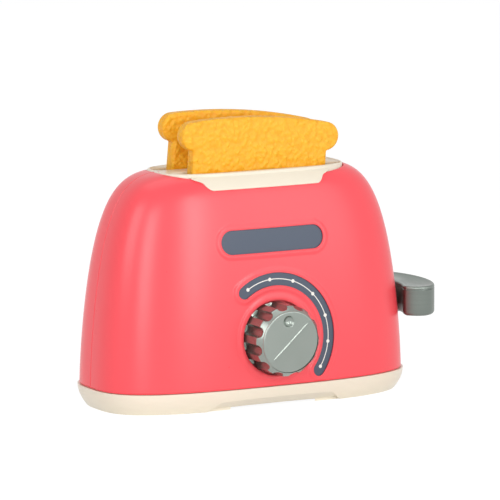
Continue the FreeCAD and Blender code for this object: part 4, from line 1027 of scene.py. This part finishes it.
paddle = new_piece("paddle", *paddle_mesh())
hole_edge = [(paddle_screw + paddle_screw_radius * math.cos(t), paddle_screw_radius * math.sin(t))
             for t in [math.pi / 16 * k for k in range(32)]]
cut_away(paddle, join("paddle_holes", block("arm_socket", *arm_socket),
                      upright("screw_hole", lambda grown: hole_edge, [(0.0, 38.0), (0.0, 43.0)], True)))
smooth(paddle, 35)
paddle.data.materials.clear()
paddle.data.materials.append(brushed_abs)
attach(paddle, "carriage")
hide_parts("lever_handle")

# ---- Screws, rods and pins ----
# The screws that hold the halves, the tray, the paddle and the timer, the rods that guide the carriage, the
# latch's pin, the dial's arbor and the timer's two plates: steel, drawn or rolled, cut and zinc plated.


def worked_metal(name, code, deep_code, roughness, mark_mm, detail):
    """Drawn, rolled or turned metal: a bright colour that drifts a little with the marks of its making."""
    material, shader = new_material(name)
    place = add(material, "ShaderNodeTexCoord")
    marks = add(material, "ShaderNodeTexNoise", {"Scale": per_metre(mark_mm), "Detail": detail},
                {"Vector": place.outputs["Object"]})
    tint = add(material, "ShaderNodeMix", {"A": linear(code), "B": linear(deep_code)},
               {"Factor": marks.outputs["Fac"]}, data_type="RGBA")
    material.node_tree.links.new(tint.outputs["Result"], shader.inputs["Base Color"])
    shader.inputs["Metallic"].default_value = 1.0
    shader.inputs["Roughness"].default_value = roughness
    return material


# Zinc plate on steel: a bright, cool grey with faint drawing marks.
zinc_steel = worked_metal("zinc_steel", "C9CCD0", "AEB2B8", 0.3, 1.429, 3.0)
for node in ("shell_screws", "base_screws", "guide_rods", "lever_screw", "latch_pin", "knob_arbor",
             "timer_front_plate", "timer_rear_plate", "pillar_screws", "timer_screws"):
    finish_node(node, zinc_steel)

# ---- Springs ----
# Springs wound from hard-drawn steel wire. The two lift springs stand round the guide rods; in the toaster
# they shorten as the carriage goes down, but here they are drawn at one length. The mainspring drives the
# timer and the latch spring holds its arm to the carriage.

# Bare spring steel: darker and smoother than the zinc-plated pieces.
spring_wire = worked_metal("spring_wire", "9A9CA1", "808389", 0.25, 2.0, 2.0)
for node in ("mainspring", "latch_spring"):
    finish_node(node, spring_wire)

rod_reach = 49.0
spring_foot = 14.0
spring_top = 51.7
spring_turns = 9
spring_radius = 2.7
spring_wire_radius = 0.5


def coil(name, x):
    """One lift spring of round wire."""
    steps, around = 24 * spring_turns, 10
    rise = spring_top - spring_foot - 2 * spring_wire_radius
    columns = []
    for i in range(steps + 1):
        turn = 2 * math.pi * spring_turns * i / steps
        centre = Vector((x + spring_radius * math.cos(turn), spring_radius * math.sin(turn),
                         spring_foot + spring_wire_radius + rise * i / steps))
        out = Vector((math.cos(turn), math.sin(turn), 0.0))
        columns.append([centre + spring_wire_radius * (out * math.cos(a) + Vector((0, 0, math.sin(a))))
                        for a in [2 * math.pi * k / around for k in range(around)]])
    return new_piece(name, *woven(columns, True, False, caps=True))


springs = join("springs", coil("spring_right", rod_reach), coil("spring_left", -rod_reach))
smooth(springs)
springs.data.materials.append(spring_wire)
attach(springs, "toaster")
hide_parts("lift_springs")
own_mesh(springs)

# ---- Timer train ----
# Wheels cut from rolled brass and pressed on turned brass arbors, which let the wound dial run back slowly.
# Four turned pillars hold the two plates apart.

# Brass: a warm yellow metal with a little brown tarnish in patches of about 6 mm.
rolled_brass = worked_metal("rolled_brass", "D9B65C", "BF9A48", 0.3, 5.556, 4.0)
for node in ("main_wheel", "second_arbor", "second_wheel", "fan_arbor", "timer_pillars"):
    finish_node(node, rolled_brass)

# ---- Carriage, latch, cam and fan ----
# Moulded acetal pieces that slide or rub: the platform under the slices with its sleeves and arm, the bell
# crank that holds it down, the cam on the dial's arbor and the timer's air brake.

# Natural acetal: IOR 1.48, a waxy, slightly clear white.
white_acetal, shader = moulded_plastic("white_acetal", "EFEEE8", "E8E7E0", 0.42, 1.2, 0.01)
shader.inputs["IOR"].default_value = 1.48
for node in ("bread_carriage", "latch_arm", "release_cam", "governor_fan"):
    finish_node(node, white_acetal)

# ---- Floor, light and camera ----
# A pale studio floor and soft boxes: a broad panel on each side in front, two upright strips that draw the
# soft lines of light down the body, and a weak one above.

floor_half = 6000
aim_height = 0.06


def looked_at(owner):
    """1 where the camera sees the owner, straight on or through metal or glass, and 0 for its light."""
    path = add(owner, "ShaderNodeLightPath")
    metal = add(owner, "ShaderNodeMath", None,
                {0: path.outputs["Is Camera Ray"], 1: path.outputs["Is Glossy Ray"]}, operation="MAXIMUM")
    glass = add(owner, "ShaderNodeMath", None, {0: metal.outputs[0], 1: path.outputs["Is Transmission Ray"]},
                operation="MAXIMUM")
    return glass.outputs[0]


corners = [(sx * floor_half, sy * floor_half, 0) for sx, sy in ((-1, -1), (1, -1), (1, 1), (-1, 1))]
floor = new_piece("floor", corners, [(0, 1, 2, 3)])
# Matt white board, which shows the shadow and otherwise looks plain white.
pale_floor, shader = new_material("pale_floor")
shader.inputs["Base Color"].default_value = linear("F6F6F6")
shader.inputs["Roughness"].default_value = 0.9
plain_share = 0.8
share = add(pale_floor, "ShaderNodeMath", {1: plain_share}, {0: looked_at(pale_floor)}, operation="MULTIPLY")
glow = add(pale_floor, "ShaderNodeEmission", {"Color": (1, 1, 1, 1), "Strength": 1.15})
board = add(pale_floor, "ShaderNodeMixShader", None,
            {0: share.outputs[0], 1: shader.outputs[0], 2: glow.outputs[0]})
output = pale_floor.node_tree.nodes["Material Output"]
pale_floor.node_tree.links.new(board.outputs[0], output.inputs["Surface"])
floor.data.materials.append(pale_floor)

world = bpy.data.worlds.new("studio")
bpy.context.scene.world = world
world.use_nodes = True
sky = world.node_tree.nodes["Background"]
bright = add(world, "ShaderNodeMix", {"A": 0.32, "B": 1.0}, {"Factor": looked_at(world)})
world.node_tree.links.new(bright.outputs["Result"], sky.inputs["Strength"])
sky.inputs["Color"].default_value = (1, 1, 1, 1)


def softbox(name, place, width, height, power):
    """A rectangular lamp that faces the middle of the toaster."""
    lamp = bpy.data.lights.new(name, "AREA")
    lamp.shape = "RECTANGLE"
    lamp.size, lamp.size_y = width, height
    lamp.energy = power
    holder = bpy.data.objects.new(name, lamp)
    bpy.context.scene.collection.objects.link(holder)
    holder.location = place
    aim = Vector((0, 0, aim_height)) - Vector(place)
    holder.rotation_euler = aim.to_track_quat("-Z", "Y").to_euler()


softbox("left_panel", (-1.7, -0.5, 0.9), 0.9, 1.2, 9.0)
softbox("left_strip", (-1.74, -2.69, 1.0), 1.0, 2.2, 30.0)
softbox("right_strip", (0.33, -1.95, 0.75), 0.28, 1.5, 11.5)
softbox("right_panel", (1.35, -1.8, 0.8), 1.1, 1.5, 8.5)
softbox("top", (0.0, 0.3, 1.6), 1.2, 1.0, 3.2)

camera_distance = 2.491
camera_azimuth = math.radians(-28.14)
camera_height = math.radians(9.19)
camera_roll = math.radians(-0.12)
focal_pixels = 4682.5
frame_pixels = 500.0
shift_right, shift_up = 8.6, 33.6

toward = Vector((math.sin(camera_azimuth) * math.cos(camera_height),
                 -math.cos(camera_azimuth) * math.cos(camera_height), math.sin(camera_height)))
right = Vector((math.cos(camera_azimuth), math.sin(camera_azimuth), 0.0))
up = toward.cross(right)
right, up = right + camera_roll * up, up - camera_roll * right
lens = bpy.data.cameras.new("camera")
lens.sensor_width = 36.0
lens.lens = focal_pixels * lens.sensor_width / frame_pixels
lens.shift_x = shift_right / frame_pixels
lens.shift_y = shift_up / frame_pixels
lens.clip_end = 50.0
camera = bpy.data.objects.new("camera", lens)
bpy.context.scene.collection.objects.link(camera)
camera.matrix_world = Matrix((right, up, toward)).transposed().to_4x4()
camera.location = Vector((0, 0, aim_height)) + toward * camera_distance
bpy.context.scene.camera = camera
bpy.context.scene.view_settings.view_transform = "Standard"
